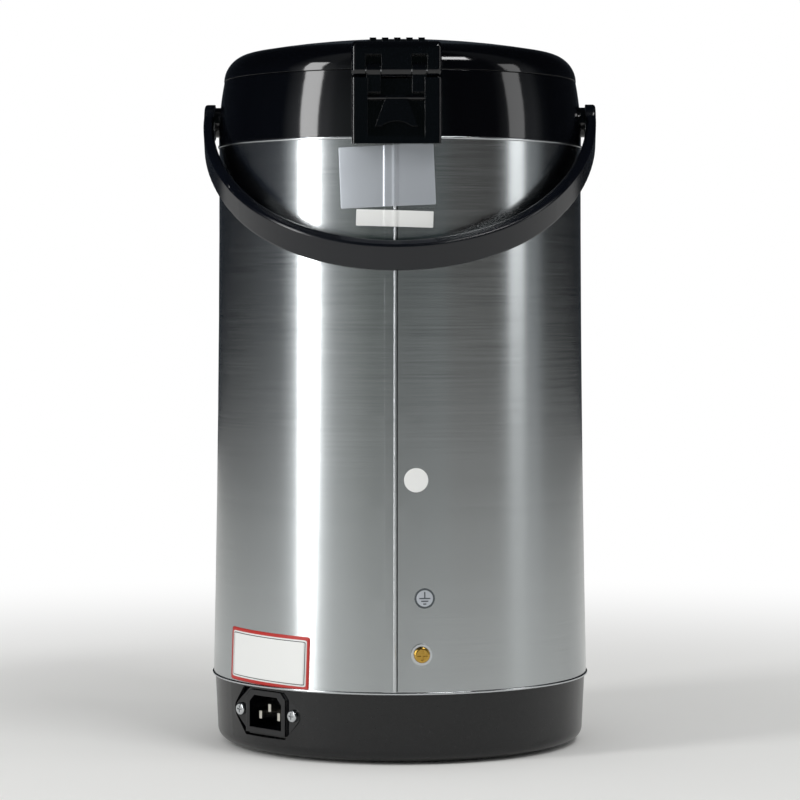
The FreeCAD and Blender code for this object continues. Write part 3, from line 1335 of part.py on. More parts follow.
def lid_inner():
    """Underside of the lid: a tapered cup that fits the collar's mouth."""
    floor = LID_FLOOR_Z
    top = floor + LID_FLOOR_THICK
    edge = LID_R - LID_WALL
    outline = [(0, floor), (LID_CUP_LOW_R, floor), (LID_CUP_TOP_R, LID_RIM_Z), (edge - GAP, LID_RIM_Z),
               (edge - GAP, LID_RIM_Z + 2), (LID_CUP_TOP_R - LID_CUP_WALL, LID_RIM_Z + 2),
               (LID_CUP_LOW_R - LID_CUP_WALL, top), (0, top)]
    cup = turned(outline)
    cup = cup.cut(latch_pocket())
    cup = cup.cut(Part.makeCylinder(3, 20, V(0, 0, floor - 5)))
    for place in lid_screw_places(floor - 5):
        cup = cup.cut(Part.makeCylinder(SCREW_R, 20, place))
    return cup


def lid_plate():
    """Steel plate under the lid, with a ring of pressure holes."""
    low = LID_FLOOR_Z - LID_PLATE_THICK
    plate = turned([(0, low + 0.6), (52, low + 0.6), (56, low), (LID_PLATE_R, low),
                    (LID_PLATE_R, LID_FLOOR_Z),
                    (0, LID_FLOOR_Z)])
    for i in range(6):
        plate = plate.cut(Part.makeCylinder(2, 10, polar(22, i * 60, low - 5)))
    for place in lid_screw_places(low - 5):
        plate = plate.cut(Part.makeCylinder(SCREW_R, 20, place))
    return plate


def lid_gasket():
    """Silicone ring that seals on the liner's flange."""
    low = LID_FLOOR_Z - GASKET_DROP
    return turned([(LID_PLATE_R, low + 1), (LID_PLATE_R + 1, low), (GASKET_R - 1, low), (GASKET_R, low + 1),
                   (GASKET_R - 0.6, LID_FLOOR_Z), (LID_PLATE_R, LID_FLOOR_Z)])


def lid_screws():
    """Three screws through the lid's plate and floor into the bosses."""
    low = LID_FLOOR_Z - LID_PLATE_THICK
    floor = LID_FLOOR_Z + LID_FLOOR_THICK
    screws = []
    for place in lid_screw_places(low):
        head = Part.makeCylinder(SCREW_HEAD_R, 1.6, V(place.x, place.y, low - 1.6))
        shank = Part.makeCylinder(SCREW_R, floor - low + 11, place)
        screws.append(head.fuse(shank))
    return Part.makeCompound(screws)


def steam_vent():
    """Steam vent in the dome: a sunk floor and five raised bars."""
    block = vent_block(0)
    plate = block.common(dome(VENT_SINK)).cut(dome(LID_WALL))
    bars = []
    first = -VENT_BAR_PITCH * (VENT_BAR_COUNT - 1) / 2
    for i in range(VENT_BAR_COUNT):
        x = first + VENT_BAR_PITCH * i
        bar = box(x - VENT_BAR_WIDTH / 2, x + VENT_BAR_WIDTH / 2, VENT_Y0 + 1.5, VENT_Y1 - 1.5,
                  LID_RIM_Z + 5, VENT_TOP_Z)
        bars.append(bar.cut(dome(LID_WALL)))
    vent = plate.multiFuse(bars)
    for i in range(VENT_BAR_COUNT - 1):
        x = first + VENT_BAR_PITCH * (i + 0.5)
        vent = vent.cut(Part.makeCylinder(0.9, 30, V(x, (VENT_Y0 + VENT_Y1) / 2, LID_RIM_Z)))
    return vent


def pump_plate():
    """Push plate that follows the dome, with a guide skirt and a seat for the bellows."""
    cap = ring(0, PUMP_R, PUMP_SKIRT_Z, LID_APEX_Z).common(dome(0))
    hollow = ring(0, PUMP_R - PUMP_SKIRT_THICK, PUMP_SKIRT_Z - 1,
                  LID_APEX_Z).common(dome(PUMP_PLATE_THICK).fuse(
        ring(0, PUMP_R, PUMP_SKIRT_Z - 1, LID_RIM_Z + 2)))
    plate = cap.cut(hollow)
    seat = ring(BELLOWS_ROOT_R, BELLOWS_R, PUMP_SEAT_Z, LID_APEX_Z).common(dome(PUMP_PLATE_THICK / 2))
    return plate.fuse(seat)


def pump_boss():
    """Spring seat under the push plate."""
    low = PUMP_SEAT_Z
    seat = ring(0, SPRING_R + 3, low, LID_APEX_Z).common(dome(PUMP_PLATE_THICK))
    return seat.cut(ring(SPRING_R - 2.5, SPRING_R + 1.8, low - 1, low + 1))


def bellows():
    """Folded pump bellows between the lid's floor and the push plate."""
    low = LID_FLOOR_Z + LID_FLOOR_THICK
    top = PUMP_SEAT_Z - GAP
    fold = (top - low) / (2 * BELLOWS_FOLDS)
    outer = [(BELLOWS_R, low)]
    for i in range(BELLOWS_FOLDS):
        z = low + 2 * i * fold
        outer += [(BELLOWS_ROOT_R, z + fold), (BELLOWS_R, z + 2 * fold)]
    inner = [(r - BELLOWS_WALL, z) for r, z in reversed(outer)]
    return turned(outer + inner)


def pump_spring():
    """Coil spring that lifts the push plate, made of half turns that lean to either side in turn."""
    low = LID_FLOOR_Z + LID_FLOOR_THICK + SPRING_WIRE_R
    top = PUMP_SEAT_Z - GAP - SPRING_WIRE_R
    rise = (top - low) / (2 * SPRING_TURNS)
    halves = []
    for i in range(2 * SPRING_TURNS):
        side = 1 if i % 2 == 0 else -1
        start = V(side * SPRING_R, 0, low + i * rise)
        centre = V(0, 0, low + (i + 0.5) * rise)
        wire_section = Part.Face(Part.Wire(Part.Circle(start, Y_AXIS, SPRING_WIRE_R).toShape()))
        halves.append(wire_section.revolve(centre, (start - centre).cross(Y_AXIS) * side, 180))
    return halves[0].multiFuse(halves[1:])


def air_valve():
    """Rubber flap valve on the lid's floor."""
    low = LID_FLOOR_Z + LID_FLOOR_THICK
    return turned([(0, low), (VALVE_R, low), (VALVE_R - 1, low + VALVE_THICK / 2), (3, low + VALVE_THICK),
                   (0, low + VALVE_THICK)])


def window_block(offset):
    """Through-prism of the level window."""
    half = WINDOW_HALF_WIDTH + offset
    return box(-half, half, -SLEEVE_LOW_R - 10, RISER_Y, WINDOW_Z0 - offset, WINDOW_Z1 + offset)


def gauge_bezel():
    """Frame round the level window, fitted to the sleeve's curve."""
    half = WINDOW_HALF_WIDTH + BEZEL_BORDER
    z0 = WINDOW_Z0 - BEZEL_BORDER
    z1 = WINDOW_Z1 + BEZEL_BORDER
    frame = box(-half, half, -SLEEVE_LOW_R - 10, RISER_Y, z0, z1)
    frame = fillet_where(frame, 4.0, lambda e: e.BoundBox.YLength > 10)
    frame = frame.common(sleeve_core(BEZEL_PROUD)).cut(sleeve_core(0))
    return frame.cut(window_block(0))


def gauge_window():
    """Clear window over the riser."""
    return window_block(0).common(sleeve_core(WINDOW_PROUD)).cut(sleeve_core(-SHEET))


def button_block(grow, front, back):
    """Rounded prism of the reboil button."""
    half_w = BUTTON_WIDTH / 2 + grow
    half_h = BUTTON_HEIGHT / 2 + grow
    block = box(-half_w, half_w, -front, -back, BUTTON_Z - half_h, BUTTON_Z + half_h)
    return fillet_where(block, 2.5 + grow, lambda e: e.BoundBox.YLength > (front - back) / 2)


def lamp_panel():
    """Front panel for the two lamps and the reboil button, fitted to the sleeve's curve."""
    panel = box(-PANEL_HALF_WIDTH, PANEL_HALF_WIDTH, -SLEEVE_LOW_R - 10, RISER_Y, PANEL_Z0, PANEL_Z1)
    panel = fillet_where(panel, 5.0, lambda e: e.BoundBox.YLength > 10)
    panel = panel.common(sleeve_core(PANEL_PROUD)).cut(sleeve_core(0))
    for x in (-LAMP_X, LAMP_X):
        panel = panel.cut(rod(LAMP_R, V(x, -SLEEVE_LOW_R - 9, LAMP_Z), V(x, RISER_Y, LAMP_Z)))
    return panel.cut(button_block(GAP, SLEEVE_LOW_R + 9, 80))


def lamp(x):
    """Indicator lamp with a domed lens."""
    face = math.sqrt((sleeve_r(LAMP_Z) + PANEL_PROUD) ** 2 - x ** 2) + LAMP_PROUD
    body = rod(LAMP_R, V(x, -face, LAMP_Z), V(x, -face + 10, LAMP_Z))
    return fillet_where(body, 1.2, lambda e: e.BoundBox.YMax < -face + 1)


def reboil_button():
    """Reboil push button."""
    front = sleeve_r(BUTTON_Z) + PANEL_PROUD + BUTTON_PROUD
    block = button_block(0, front, front - BUTTON_DEPTH)
    return fillet_where(block, 0.8, lambda e: e.BoundBox.YMax < -front + 0.1)


def bow_outline(half, reach, bow_r):
    """Edges of one side of the bail: straight, side arc and bow arc, then mirrored."""
    centre_v = reach - bow_r
    rise = centre_v - BAIL_STRAIGHT
    side_r = (half ** 2 + rise ** 2 - bow_r ** 2) / (2 * (half - bow_r))
    side_u = half - side_r
    reach_to_join = math.hypot(-side_u, rise)
    join = V(side_u - side_u / reach_to_join * side_r, BAIL_STRAIGHT + rise / reach_to_join * side_r, 0)
    sweep = math.atan2(rise, -side_u)
    middle = V(side_u + side_r * math.cos(sweep / 2), BAIL_STRAIGHT + side_r * math.sin(sweep / 2), 0)
    start = V(half, BAIL_STRAIGHT, 0)
    apex = V(0, reach, 0)
    right = arc(start, middle, join)
    left = arc(V(-half, BAIL_STRAIGHT, 0), V(-middle.x, middle.y, 0), V(-join.x, join.y, 0))
    return [right, arc(join, apex, V(-join.x, join.y, 0)), left]


def handle():
    """Bail handle: a flat bow, round ends over the pivots, and rounded edges."""
    low = -BAIL_STRAIGHT
    outer = bow_outline(BAIL_HALF, BAIL_REACH, BAIL_BOW_R)
    inner = bow_outline(BAIL_INNER_HALF, BAIL_INNER_REACH, BAIL_INNER_BOW_R)
    edges = list(outer) + list(inner)
    for side in (-1, 1):
        a = V(side * BAIL_HALF, BAIL_STRAIGHT, 0)
        b = V(side * BAIL_INNER_HALF, BAIL_STRAIGHT, 0)
        edges.append(line(a, V(a.x, low, 0)))
        edges.append(line(V(a.x, low, 0), V(b.x, low, 0)))
        edges.append(line(V(b.x, low, 0), b))
    face = Part.Face(Part.Wire(Part.__sortEdges__(edges)))
    bow = face.extrude(V(0, 0, BAIL_WIDTH))
    bow.translate(V(0, 0, -BAIL_WIDTH / 2))
    long_edge = BAIL_REACH / 2
    bow = fillet_where(bow, BAIL_EDGE_FILLET, lambda e: e.Length > long_edge)
    for side in (-1, 1):
        end = rod(BAIL_END_R, V(side * BAIL_INNER_HALF, 0, 0), V(side * BAIL_HALF, 0, 0))
        outside = side * BAIL_HALF
        end = fillet_where(end, BAIL_EDGE_FILLET,
                           lambda e: abs(e.BoundBox.XMin - outside) < 0.01 and abs(e.BoundBox.XMax - outside) < 0.01)
        bow = bow.fuse(end)
        bow = bow.cut(rod(STUB_R + RUNNING, V(side * (BAIL_INNER_HALF - 1), 0, 0),
                          V(side * (BAIL_INNER_HALF + STUB_LENGTH + GAP), 0, 0)))
    bow.rotate(V(0, 0, 0), X_AXIS, -BAIL_REST_ANGLE)
    bow.translate(V(0, 0, PIVOT_Z))
    return bow


NODES = {
    "outer_shell": outer_shell,
    "base_ring": base_ring,
    "bottom_cover": bottom_cover,
    "cover_screws": cover_screws,
    "retainer_screw": retainer_screw,
    "turntable_retainer": turntable_retainer,
    "turntable": turntable,
    "rubber_feet": rubber_feet,
    "inlet_socket": inlet_socket,
    "inlet_pins": inlet_pins,
    "inlet_screws": inlet_screws,
    "earth_washer": earth_washer,
    "earth_screw": earth_screw,
    "inner_liner": inner_liner,
    "boil_heater": boil_heater,
    "heater_clamp": heater_clamp,
    "clamp_bolt": clamp_bolt,
    "warm_heater": warm_heater,
    "band_bolt": band_bolt,
    "thermostat": thermostat,
    "thermal_cutout": thermal_cutout,
    "terminal_block": terminal_block,
    "control_board": control_board,
    "lower_elbow": lower_elbow,
    "riser_tube": riser_tube,
    "gauge_float": gauge_float,
    "upper_elbow": upper_elbow,
    "spout_nozzle": spout_nozzle,
    "spout_cover": spout_cover,
    "spout_hood": spout_hood,
    "collar": collar,
    "latch_catch": latch_catch,
    "hinge_pin": hinge_pin,
    "handle_pivots": handle_pivots,
    "lid_release": lid_release,
    "lid_outer": lid_outer,
    "lid_inner": lid_inner,
    "lid_plate": lid_plate,
    "lid_gasket": lid_gasket,
    "lid_screws": lid_screws,
    "steam_vent": steam_vent,
    "lid_latch": lid_latch,
    "latch_pin": latch_pin,
    "pump_lock": pump_lock,
    "pump_plate": pump_plate,
    "pump_boss": pump_boss,
    "bellows": bellows,
    "pump_spring": pump_spring,
    "air_valve": air_valve,
    "gauge_bezel": gauge_bezel,
    "gauge_window": gauge_window,
    "lamp_panel": lamp_panel,
    "boil_lamp": lambda: lamp(-LAMP_X),
    "warm_lamp": lambda: lamp(LAMP_X),
    "reboil_button": reboil_button,
    "handle": handle,
}

for node, make in NODES.items():
    shape = make()
    save(shape, node)
    print(node, len(shape.Solids), round(shape.Volume, 1), shape.isValid())
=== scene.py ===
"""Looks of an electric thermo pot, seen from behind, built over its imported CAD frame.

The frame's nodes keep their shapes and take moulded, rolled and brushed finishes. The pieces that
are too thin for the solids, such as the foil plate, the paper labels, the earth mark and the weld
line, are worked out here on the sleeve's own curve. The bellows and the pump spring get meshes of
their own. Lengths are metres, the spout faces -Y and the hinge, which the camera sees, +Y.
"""

import json
import logging
import math
from dataclasses import dataclass, fields
from enum import Enum

import bpy
import numpy as np
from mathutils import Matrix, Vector


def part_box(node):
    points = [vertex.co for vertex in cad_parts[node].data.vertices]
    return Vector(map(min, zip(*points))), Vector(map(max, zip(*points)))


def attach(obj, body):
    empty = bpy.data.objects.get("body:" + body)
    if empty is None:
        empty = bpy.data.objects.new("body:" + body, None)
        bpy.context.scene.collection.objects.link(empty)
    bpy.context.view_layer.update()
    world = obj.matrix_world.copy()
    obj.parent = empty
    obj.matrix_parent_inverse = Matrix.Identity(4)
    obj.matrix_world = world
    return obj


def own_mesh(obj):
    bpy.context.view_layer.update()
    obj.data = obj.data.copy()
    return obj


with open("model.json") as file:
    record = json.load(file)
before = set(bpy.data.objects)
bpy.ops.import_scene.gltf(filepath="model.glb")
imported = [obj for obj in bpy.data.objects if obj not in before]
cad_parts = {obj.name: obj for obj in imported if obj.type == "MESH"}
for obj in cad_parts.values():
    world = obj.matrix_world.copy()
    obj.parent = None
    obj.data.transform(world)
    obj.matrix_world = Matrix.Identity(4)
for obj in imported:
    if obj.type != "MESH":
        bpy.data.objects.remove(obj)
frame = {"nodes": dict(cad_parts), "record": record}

log = logging.getLogger("thermo_pot")
MM = 0.001
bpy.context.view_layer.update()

# Noise values rarely leave this span, so it is the one that is stretched over a finish's range.
NOISE_SPAN = (0.3, 0.7)
NOISE_ROUGHNESS = 0.6
BEVEL_SAMPLES = 4
# How far below and above its own roughness a finish wanders, as a share.
MOULD_WANDER = 0.07
METAL_WANDER = 0.14
# Label stock: how far its face stands off the steel, how thick it is, and how finely it is divided.
LABEL_LIFT = 0.12 * MM
LABEL_THICK = 0.1 * MM
LABEL_CELLS = 40
LONG_LABEL_CELLS = 96
MARK_CELLS = 8
WHITE = (1.0, 1.0, 1.0, 1.0)


# ---------------------------------------------------------------- shading helpers


def linear(code: str) -> tuple[float, float, float, float]:
    """Turn an sRGB hex colour into linear red, green, blue and alpha.

    Args:
        code: Six hex digits, with or without a leading hash.

    Returns:
        The linear colour with an alpha of 1.
    """
    digits = code.lstrip("#")
    share = [int(digits[i:i + 2], 16) / 255 for i in (0, 2, 4)]
    curve = [c / 12.92 if c <= 0.04045 else ((c + 0.055) / 1.055) ** 2.4 for c in share]
    return (curve[0], curve[1], curve[2], 1.0)


def add(tree: bpy.types.NodeTree, kind: str, links: dict[str, object] | None = None,
        **settings: object) -> bpy.types.Node:
    """Add one node with its settings, input values and links.

    Args:
        tree: The node tree to add to.
        kind: Blender's node type name.
        links: Input name or number to an output socket, or to a plain value.
        settings: Attributes of the node itself.

    Returns:
        The new node.
    """
    node = tree.nodes.new(kind)
    for name, value in settings.items():
        setattr(node, name, value)
    for name, value in (links or {}).items():
        socket = node.inputs[name]
        if isinstance(value, bpy.types.NodeSocket):
            tree.links.new(value, socket)
        else:
            socket.default_value = value
    return node


def new_material(name: str) -> tuple[bpy.types.Material, bpy.types.NodeTree, bpy.types.Node]:
    """Make an empty material with only its output.

    Args:
        name: The material's name.

    Returns:
        The material, its node tree and its output node.
    """
    material = bpy.data.materials.new(name)
    material.use_nodes = True
    tree = material.node_tree
    tree.nodes.clear()
    return material, tree, add(tree, "ShaderNodeOutputMaterial")


def stretched_noise(
        tree: bpy.types.NodeTree,
        per_metre: tuple[float, float, float],
        detail: float) -> bpy.types.NodeSocket:
    """Noise on Object coordinates with its own fineness along each axis.

    Args:
        tree: The node tree to add to.
        per_metre: Features per metre along X, Y and Z.
        detail: Octaves of noise.

    Returns:
        The noise value, about 0.5 on average.
    """
    place = add(tree, "ShaderNodeTexCoord")
    scaled = add(tree, "ShaderNodeMapping", {
        "Vector": place.outputs["Object"], "Scale": per_metre})
    noise = add(tree, "ShaderNodeTexNoise", {
        "Vector": scaled.outputs["Vector"], "Scale": 1.0, "Detail": detail,
        "Roughness": NOISE_ROUGHNESS})
    return noise.outputs["Fac"]


def ranged(
        tree: bpy.types.NodeTree,
        value: bpy.types.NodeSocket,
        low: float,
        high: float) -> bpy.types.NodeSocket:
    """Map a noise value onto a low and a high value.

    Args:
        tree: The node tree to add to.
        value: The value to map.
        low: Result at the low end of the noise's span.
        high: Result at its high end.

    Returns:
        The mapped value.
    """
    node = add(tree, "ShaderNodeMapRange", {
        "Value": value, "From Min": NOISE_SPAN[0], "From Max": NOISE_SPAN[1],
        "To Min": low, "To Max": high})
    return node.outputs["Result"]


def wandering(
        tree: bpy.types.NodeTree,
        value: bpy.types.NodeSocket,
        roughness: float,
        share: float) -> bpy.types.NodeSocket:
    """Roughness that wanders with a noise value.

    Args:
        tree: The node tree to add to.
        value: The noise value.
        roughness: The finish's own roughness.
        share: How far it wanders each way, as a share of itself.

    Returns:
        The roughness at each point.
    """
    return ranged(tree, value, roughness * (1.0 - share), roughness * (1.0 + share))


# ---------------------------------------------------------------- finishes


@dataclass(frozen=True)
class Moulded:
    """A moulded plastic or rubber.

    The mould's polish sets the roughness, and its fine spark texture is drawn as a faint bump.
    """

    name: str
    colour: str
    roughness: float
    ior: float = 1.49
    grain_per_metre: float = 900.0
    grain_height: float = 0.02
    edge: float = 0.25 * MM
    clear: float = 0.0
    grain_depth: float = 0.1 * MM
    grain_detail: float = 2.0

    def build(self) -> bpy.types.Material:
        """Make the material."""
        material, tree, output = new_material(self.name)
        noise = stretched_noise(tree, (self.grain_per_metre,) * 3, self.grain_detail)
        rounded = add(tree, "ShaderNodeBevel", {"Radius": self.edge}, samples=BEVEL_SAMPLES)
        bump = add(tree, "ShaderNodeBump", {
            "Height": noise, "Strength": self.grain_height, "Distance": self.grain_depth,
            "Normal": rounded.outputs["Normal"]})
        shader = add(tree, "ShaderNodeBsdfPrincipled", {
            "Base Color": linear(self.colour), "IOR": self.ior, "Transmission Weight": self.clear,
            "Roughness": wandering(tree, noise, self.roughness, MOULD_WANDER),
            "Normal": bump.outputs["Normal"]})
        tree.links.new(shader.outputs["BSDF"], output.inputs["Surface"])
        return material


class Grain(Enum):
    """Which way a metal's brushing or rolling marks run, as features per metre on X, Y and Z."""

    AROUND = (16.0, 16.0, 2900.0)
    EVEN = (700.0, 700.0, 700.0)


@dataclass(frozen=True)
class Metal:
    """A metal sheet, turned part or plated screw.

    The marks of brushing break the reflections across the grain, so a strip light draws a
    sharp-sided vertical band on a sleeve that was brushed around.
    """

    name: str
    colour: str
    roughness: float
    grain: Grain = Grain.EVEN
    streak: float = 0.0
    spread: float = 0.0
    edge: float = 0.15 * MM
    turn: float = 0.25
    grain_detail: float = 3.0

    def build(self) -> bpy.types.Material:
        """Make the material."""
        material, tree, output = new_material(self.name)
        marks = stretched_noise(tree, self.grain.value, self.grain_detail)
        bright = ranged(tree, marks, 1.0 - self.streak, 1.0)
        black = (0.0, 0.0, 0.0, 1.0)
        tinted = add(tree, "ShaderNodeMix", {0: bright, 6: black, 7: linear(self.colour)},
                     data_type="RGBA")
        rounded = add(tree, "ShaderNodeBevel", {"Radius": self.edge}, samples=BEVEL_SAMPLES)
        around = add(tree, "ShaderNodeTangent", direction_type="RADIAL", axis="Z")
        shader = add(tree, "ShaderNodeBsdfPrincipled", {
            "Base Color": tinted.outputs[2], "Metallic": 1.0, "Anisotropic": self.spread,
            "Anisotropic Rotation": self.turn, "Tangent": around.outputs["Tangent"],
            "Roughness": wandering(tree, marks, self.roughness, METAL_WANDER),
            "Normal": rounded.outputs["Normal"]})
        tree.links.new(shader.outputs["BSDF"], output.inputs["Surface"])
        return material


@dataclass(frozen=True)
class Printed:
    """Printed or bare label stock: paper or film, with the faint creases of laying it down."""

    name: str
    colour: str
    roughness: float
    metallic: float = 0.0
    creases_per_metre: float = 160.0
    crease_height: float = 0.12
    crease_depth: float = 0.2 * MM
    crease_detail: float = 3.0

    def build(self) -> bpy.types.Material:
        """Make the material."""
        material, tree, output = new_material(self.name)
        crease = stretched_noise(tree, (self.creases_per_metre,) * 3, self.crease_detail)
        bump = add(tree, "ShaderNodeBump", {
            "Height": crease, "Strength": self.crease_height, "Distance": self.crease_depth})
        shader = add(tree, "ShaderNodeBsdfPrincipled", {
            "Base Color": linear(self.colour), "Metallic": self.metallic,
            "Roughness": self.roughness, "Normal": bump.outputs["Normal"]})
        tree.links.new(shader.outputs["BSDF"], output.inputs["Surface"])
        return material


@dataclass(frozen=True)
class Finishes:
    """Every finish, by the record's slot name or by a piece's own name."""

    # Brushed stainless sheet: pale, and long fine scratches around the pot.
    steel_sleeve: Metal = Metal(
        "stainless_brushed_around", "#C0C4C5", 0.22, Grain.AROUND, 0.055, 0.7)
    liner_steel: Metal = Metal("stainless_drawn_satin", "#C9CAC9", 0.24, Grain.EVEN, 0.05)
    screw_steel: Metal = Metal("steel_bright_zinc_plated", "#CDD0D2", 0.22, Grain.EVEN, 0.05)
    pin_metal: Metal = Metal("brass_nickel_plated", "#D6D3CA", 0.2)
    earth_brass: Metal = Metal("steel_yellow_zinc_plated", "#C9A24E", 0.25, Grain.EVEN, 0.1)
    heater_aluminium: Metal = Metal("aluminium_die_cast", "#BFC2C4", 0.45, Grain.EVEN, 0.15)
    clamp_steel: Metal = Metal("steel_galvanised", "#A9ADAF", 0.42, Grain.EVEN, 0.2)
    spring_steel: Metal = Metal("stainless_spring_wire", "#B8BABA", 0.25)
    # Polished ABS mouldings: a black that mirrors the studio softly.
    gloss_black: Moulded = Moulded(
        "abs_moulded_polished_black", "#050609", 0.075, 1.52, 260.0, 0.008, 0.45 * MM)
    # Handle and base come from a textured mould, so their shine is wide and dim.
    handle_plastic: Moulded = Moulded(
        "abs_moulded_satin_blue_black", "#080B12", 0.2, 1.5, 500.0, 0.008, 0.8 * MM)
    base_plastic: Moulded = Moulded(
        "polypropylene_moulded_charcoal", "#08090B", 0.26, 1.5, 1200.0, 0.03)
    cover_plastic: Moulded = Moulded("polypropylene_moulded_matt_black", "#17181A", 0.5)
    turntable_plastic: Moulded = Moulded("polypropylene_moulded_grey_black", "#1D1E20", 0.48)
    foot_rubber: Moulded = Moulded("rubber_moulded_dark_grey", "#26272A", 0.75)
    lid_inner_plastic: Moulded = Moulded("polypropylene_moulded_dark_grey", "#2B2D31", 0.42)
    button_grey: Moulded = Moulded("abs_moulded_grey", "#7F858B", 0.35)
    phenolic: Moulded = Moulded("phenolic_moulded_brown", "#3A241A", 0.4)
    terminal_plastic: Moulded = Moulded("nylon_moulded_natural", "#D9D3C2", 0.42)
    board: Moulded = Moulded("laminate_cut_green", "#1F5B38", 0.38)
    mica_band: Moulded = Moulded("mica_pressed_silver_grey", "#8C8577", 0.4)
    # Food silicone scatters light inside, so it looks milky.
    silicone: Moulded = Moulded("silicone_moulded_milky", "#D5D8D8", 0.38, 1.43)
    # Polished clear parts have no grain, and light passes through them.
    clear_tube: Moulded = Moulded(
        "polycarbonate_drawn_clear", "#EEF4F4", 0.04, 1.58, 300.0, 0.0, clear=1.0)
    window_clear: Moulded = Moulded(
        "acrylic_moulded_clear", "#DCE7EA", 0.05, 1.49, 300.0, 0.0, clear=0.95)
    # Coloured parts: the lamps let some light through, and the float lets none.
    lamp_red: Moulded = Moulded("acrylic_moulded_red", "#8E1512", 0.15, clear=0.35)
    lamp_amber: Moulded = Moulded("acrylic_moulded_amber", "#B26A10", 0.15, clear=0.35)
    float_red: Moulded = Moulded("polypropylene_moulded_red", "#C21B18", 0.35)
    # Label stock and its inks.
    foil: Printed = Printed("aluminium_foil_laminated", "#C6CBD2", 0.34, 0.55)
    paper_white: Printed = Printed("paper_coated_white", "#E9EAE8", 0.42)
    ink_red: Printed = Printed("paper_printed_red", "#B8261F", 0.4)
    ink_grey: Printed = Printed("film_printed_grey", "#4A5054", 0.42)
    # Black ink, for the notice's printed rule and for the painted shadow beside the weld bead.
    ink_black: Printed = Printed("paper_printed_black_and_painted_shadow", "#1B1B1C", 0.42)

    def made(self) -> dict[str, bpy.types.Material]:
        """Build every finish once, by its field name."""
        return {row.name: getattr(self, row.name).build() for row in fields(self)}


# ---------------------------------------------------------------- surfaces


def grid_mesh(name: str, points: np.ndarray, wrap: bool, flip: bool) -> bpy.types.Object:
    """Make a smooth-shaded quad grid from an array of points.

    Each cell of the grid joins point (i, j) to its neighbours (i+1, j), (i+1, j+1) and (i, j+1).

    Args:
        name: Name of the object.
        points: Array of shape (rows, columns, 3).
        wrap: Joins the last row to the first.
        flip: Turns the faces round.

    Returns:
        The new object, linked to the scene.
    """
    rows, columns = points.shape[:2]
    index = np.arange(rows * columns).reshape(rows, columns)
    if wrap:
        index = np.vstack([index, index[:1]])
    corners = [index[:-1, :-1], index[1:, :-1], index[1:, 1:], index[:-1, 1:]]
    quads = np.stack(corners, axis=-1).reshape(-1, 4)
    if flip:
        quads = quads[:, ::-1]
    mesh = bpy.data.meshes.new(name)
    mesh.from_pydata(points.reshape(-1, 3).tolist(), [], quads.tolist())
    mesh.polygons.foreach_set("use_smooth", np.ones(len(quads), bool))
    mesh.update()
    made = bpy.data.objects.new(name, mesh)
    bpy.context.scene.collection.objects.link(made)
    return made


def dressed(
        piece: bpy.types.Object,
        material: bpy.types.Material,
        body: str) -> bpy.types.Object:
    """Give a piece its finish and the body that it moves with.

    Args:
        piece: The piece.
        material: Its finish.
        body: Name of the CAD body.

    Returns:
        The piece.
    """
    piece.data.materials.append(material)
    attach(piece, body)
    log.info("piece %s on %s", piece.name, body)
    return piece


@dataclass
class SleeveCurve:
    """The steel sleeve's outer curve, a parabola through three radii, with its raised lap."""

    top: tuple[float, float] = (317.0 * MM, 96.7 * MM)
    middle: tuple[float, float] = (179.0 * MM, 97.4 * MM)
    low: tuple[float, float] = (36.0 * MM, 99.6 * MM)
    lap_step: float = 0.5 * MM
    lap_width: float = 6.0 * MM
    lap_blend: float = 1.0 * MM
    bead_along: float = 1.0 * MM
    bead_width: float = 1.3 * MM
    bead_height: float = 0.42 * MM
    # Half the width of a sheet's fold over the bead, as a share of the bead's width.
    bead_cover: float = 0.75

    def radius(self, z: np.ndarray) -> np.ndarray:
        """Radius at each height, by the three-point (Lagrange) form of the parabola."""
        total = np.zeros_like(z)
        stations = (self.top, self.middle, self.low)
        for i, (zi, ri) in enumerate(stations):
            others = [s[0] for j, s in enumerate(stations) if j != i]
            share = (z - others[0]) * (z - others[1]) / ((zi - others[0]) * (zi - others[1]))
            total = total + ri * share
        return total

    def lap(self, along: np.ndarray) -> np.ndarray:
        """How far the lap lifts a sheet laid over it.

        A smooth step rises before the lap's edge and another falls after its far side, and a bell
        curve in between carries the sheet over the weld bead.

        Args:
            along: Distances round the sleeve from the seam.

        Returns:
            The lift at each distance.
        """
        def rise(at: np.ndarray) -> np.ndarray:
            t = np.clip(at / self.lap_blend, 0.0, 1.0)
            return t * t * (3.0 - 2.0 * t)
        fold = self.bead_cover * self.bead_width
        bead = self.bead_height * np.exp(-((along - self.bead_along) / fold) ** 2)
        step = rise(along + self.lap_blend) - rise(along - self.lap_width)
        return self.lap_step * step + bead

    def point(
            self,
            along: np.ndarray,
            z: np.ndarray,
            lift: np.ndarray | float) -> np.ndarray:
        """Points on the sleeve.

        The angle is the distance over the middle radius; x is r sin(angle) and y is r cos(angle).

        Args:
            along: Distances round the sleeve from the seam towards +X.
            z: Heights.
            lift: How far off the sleeve.

        Returns:
            The points, with a last axis of three.
        """
        angle = along / self.middle[1]
        r = self.radius(z) + lift
        return np.stack([r * np.sin(angle), r * np.cos(angle), z], axis=-1)


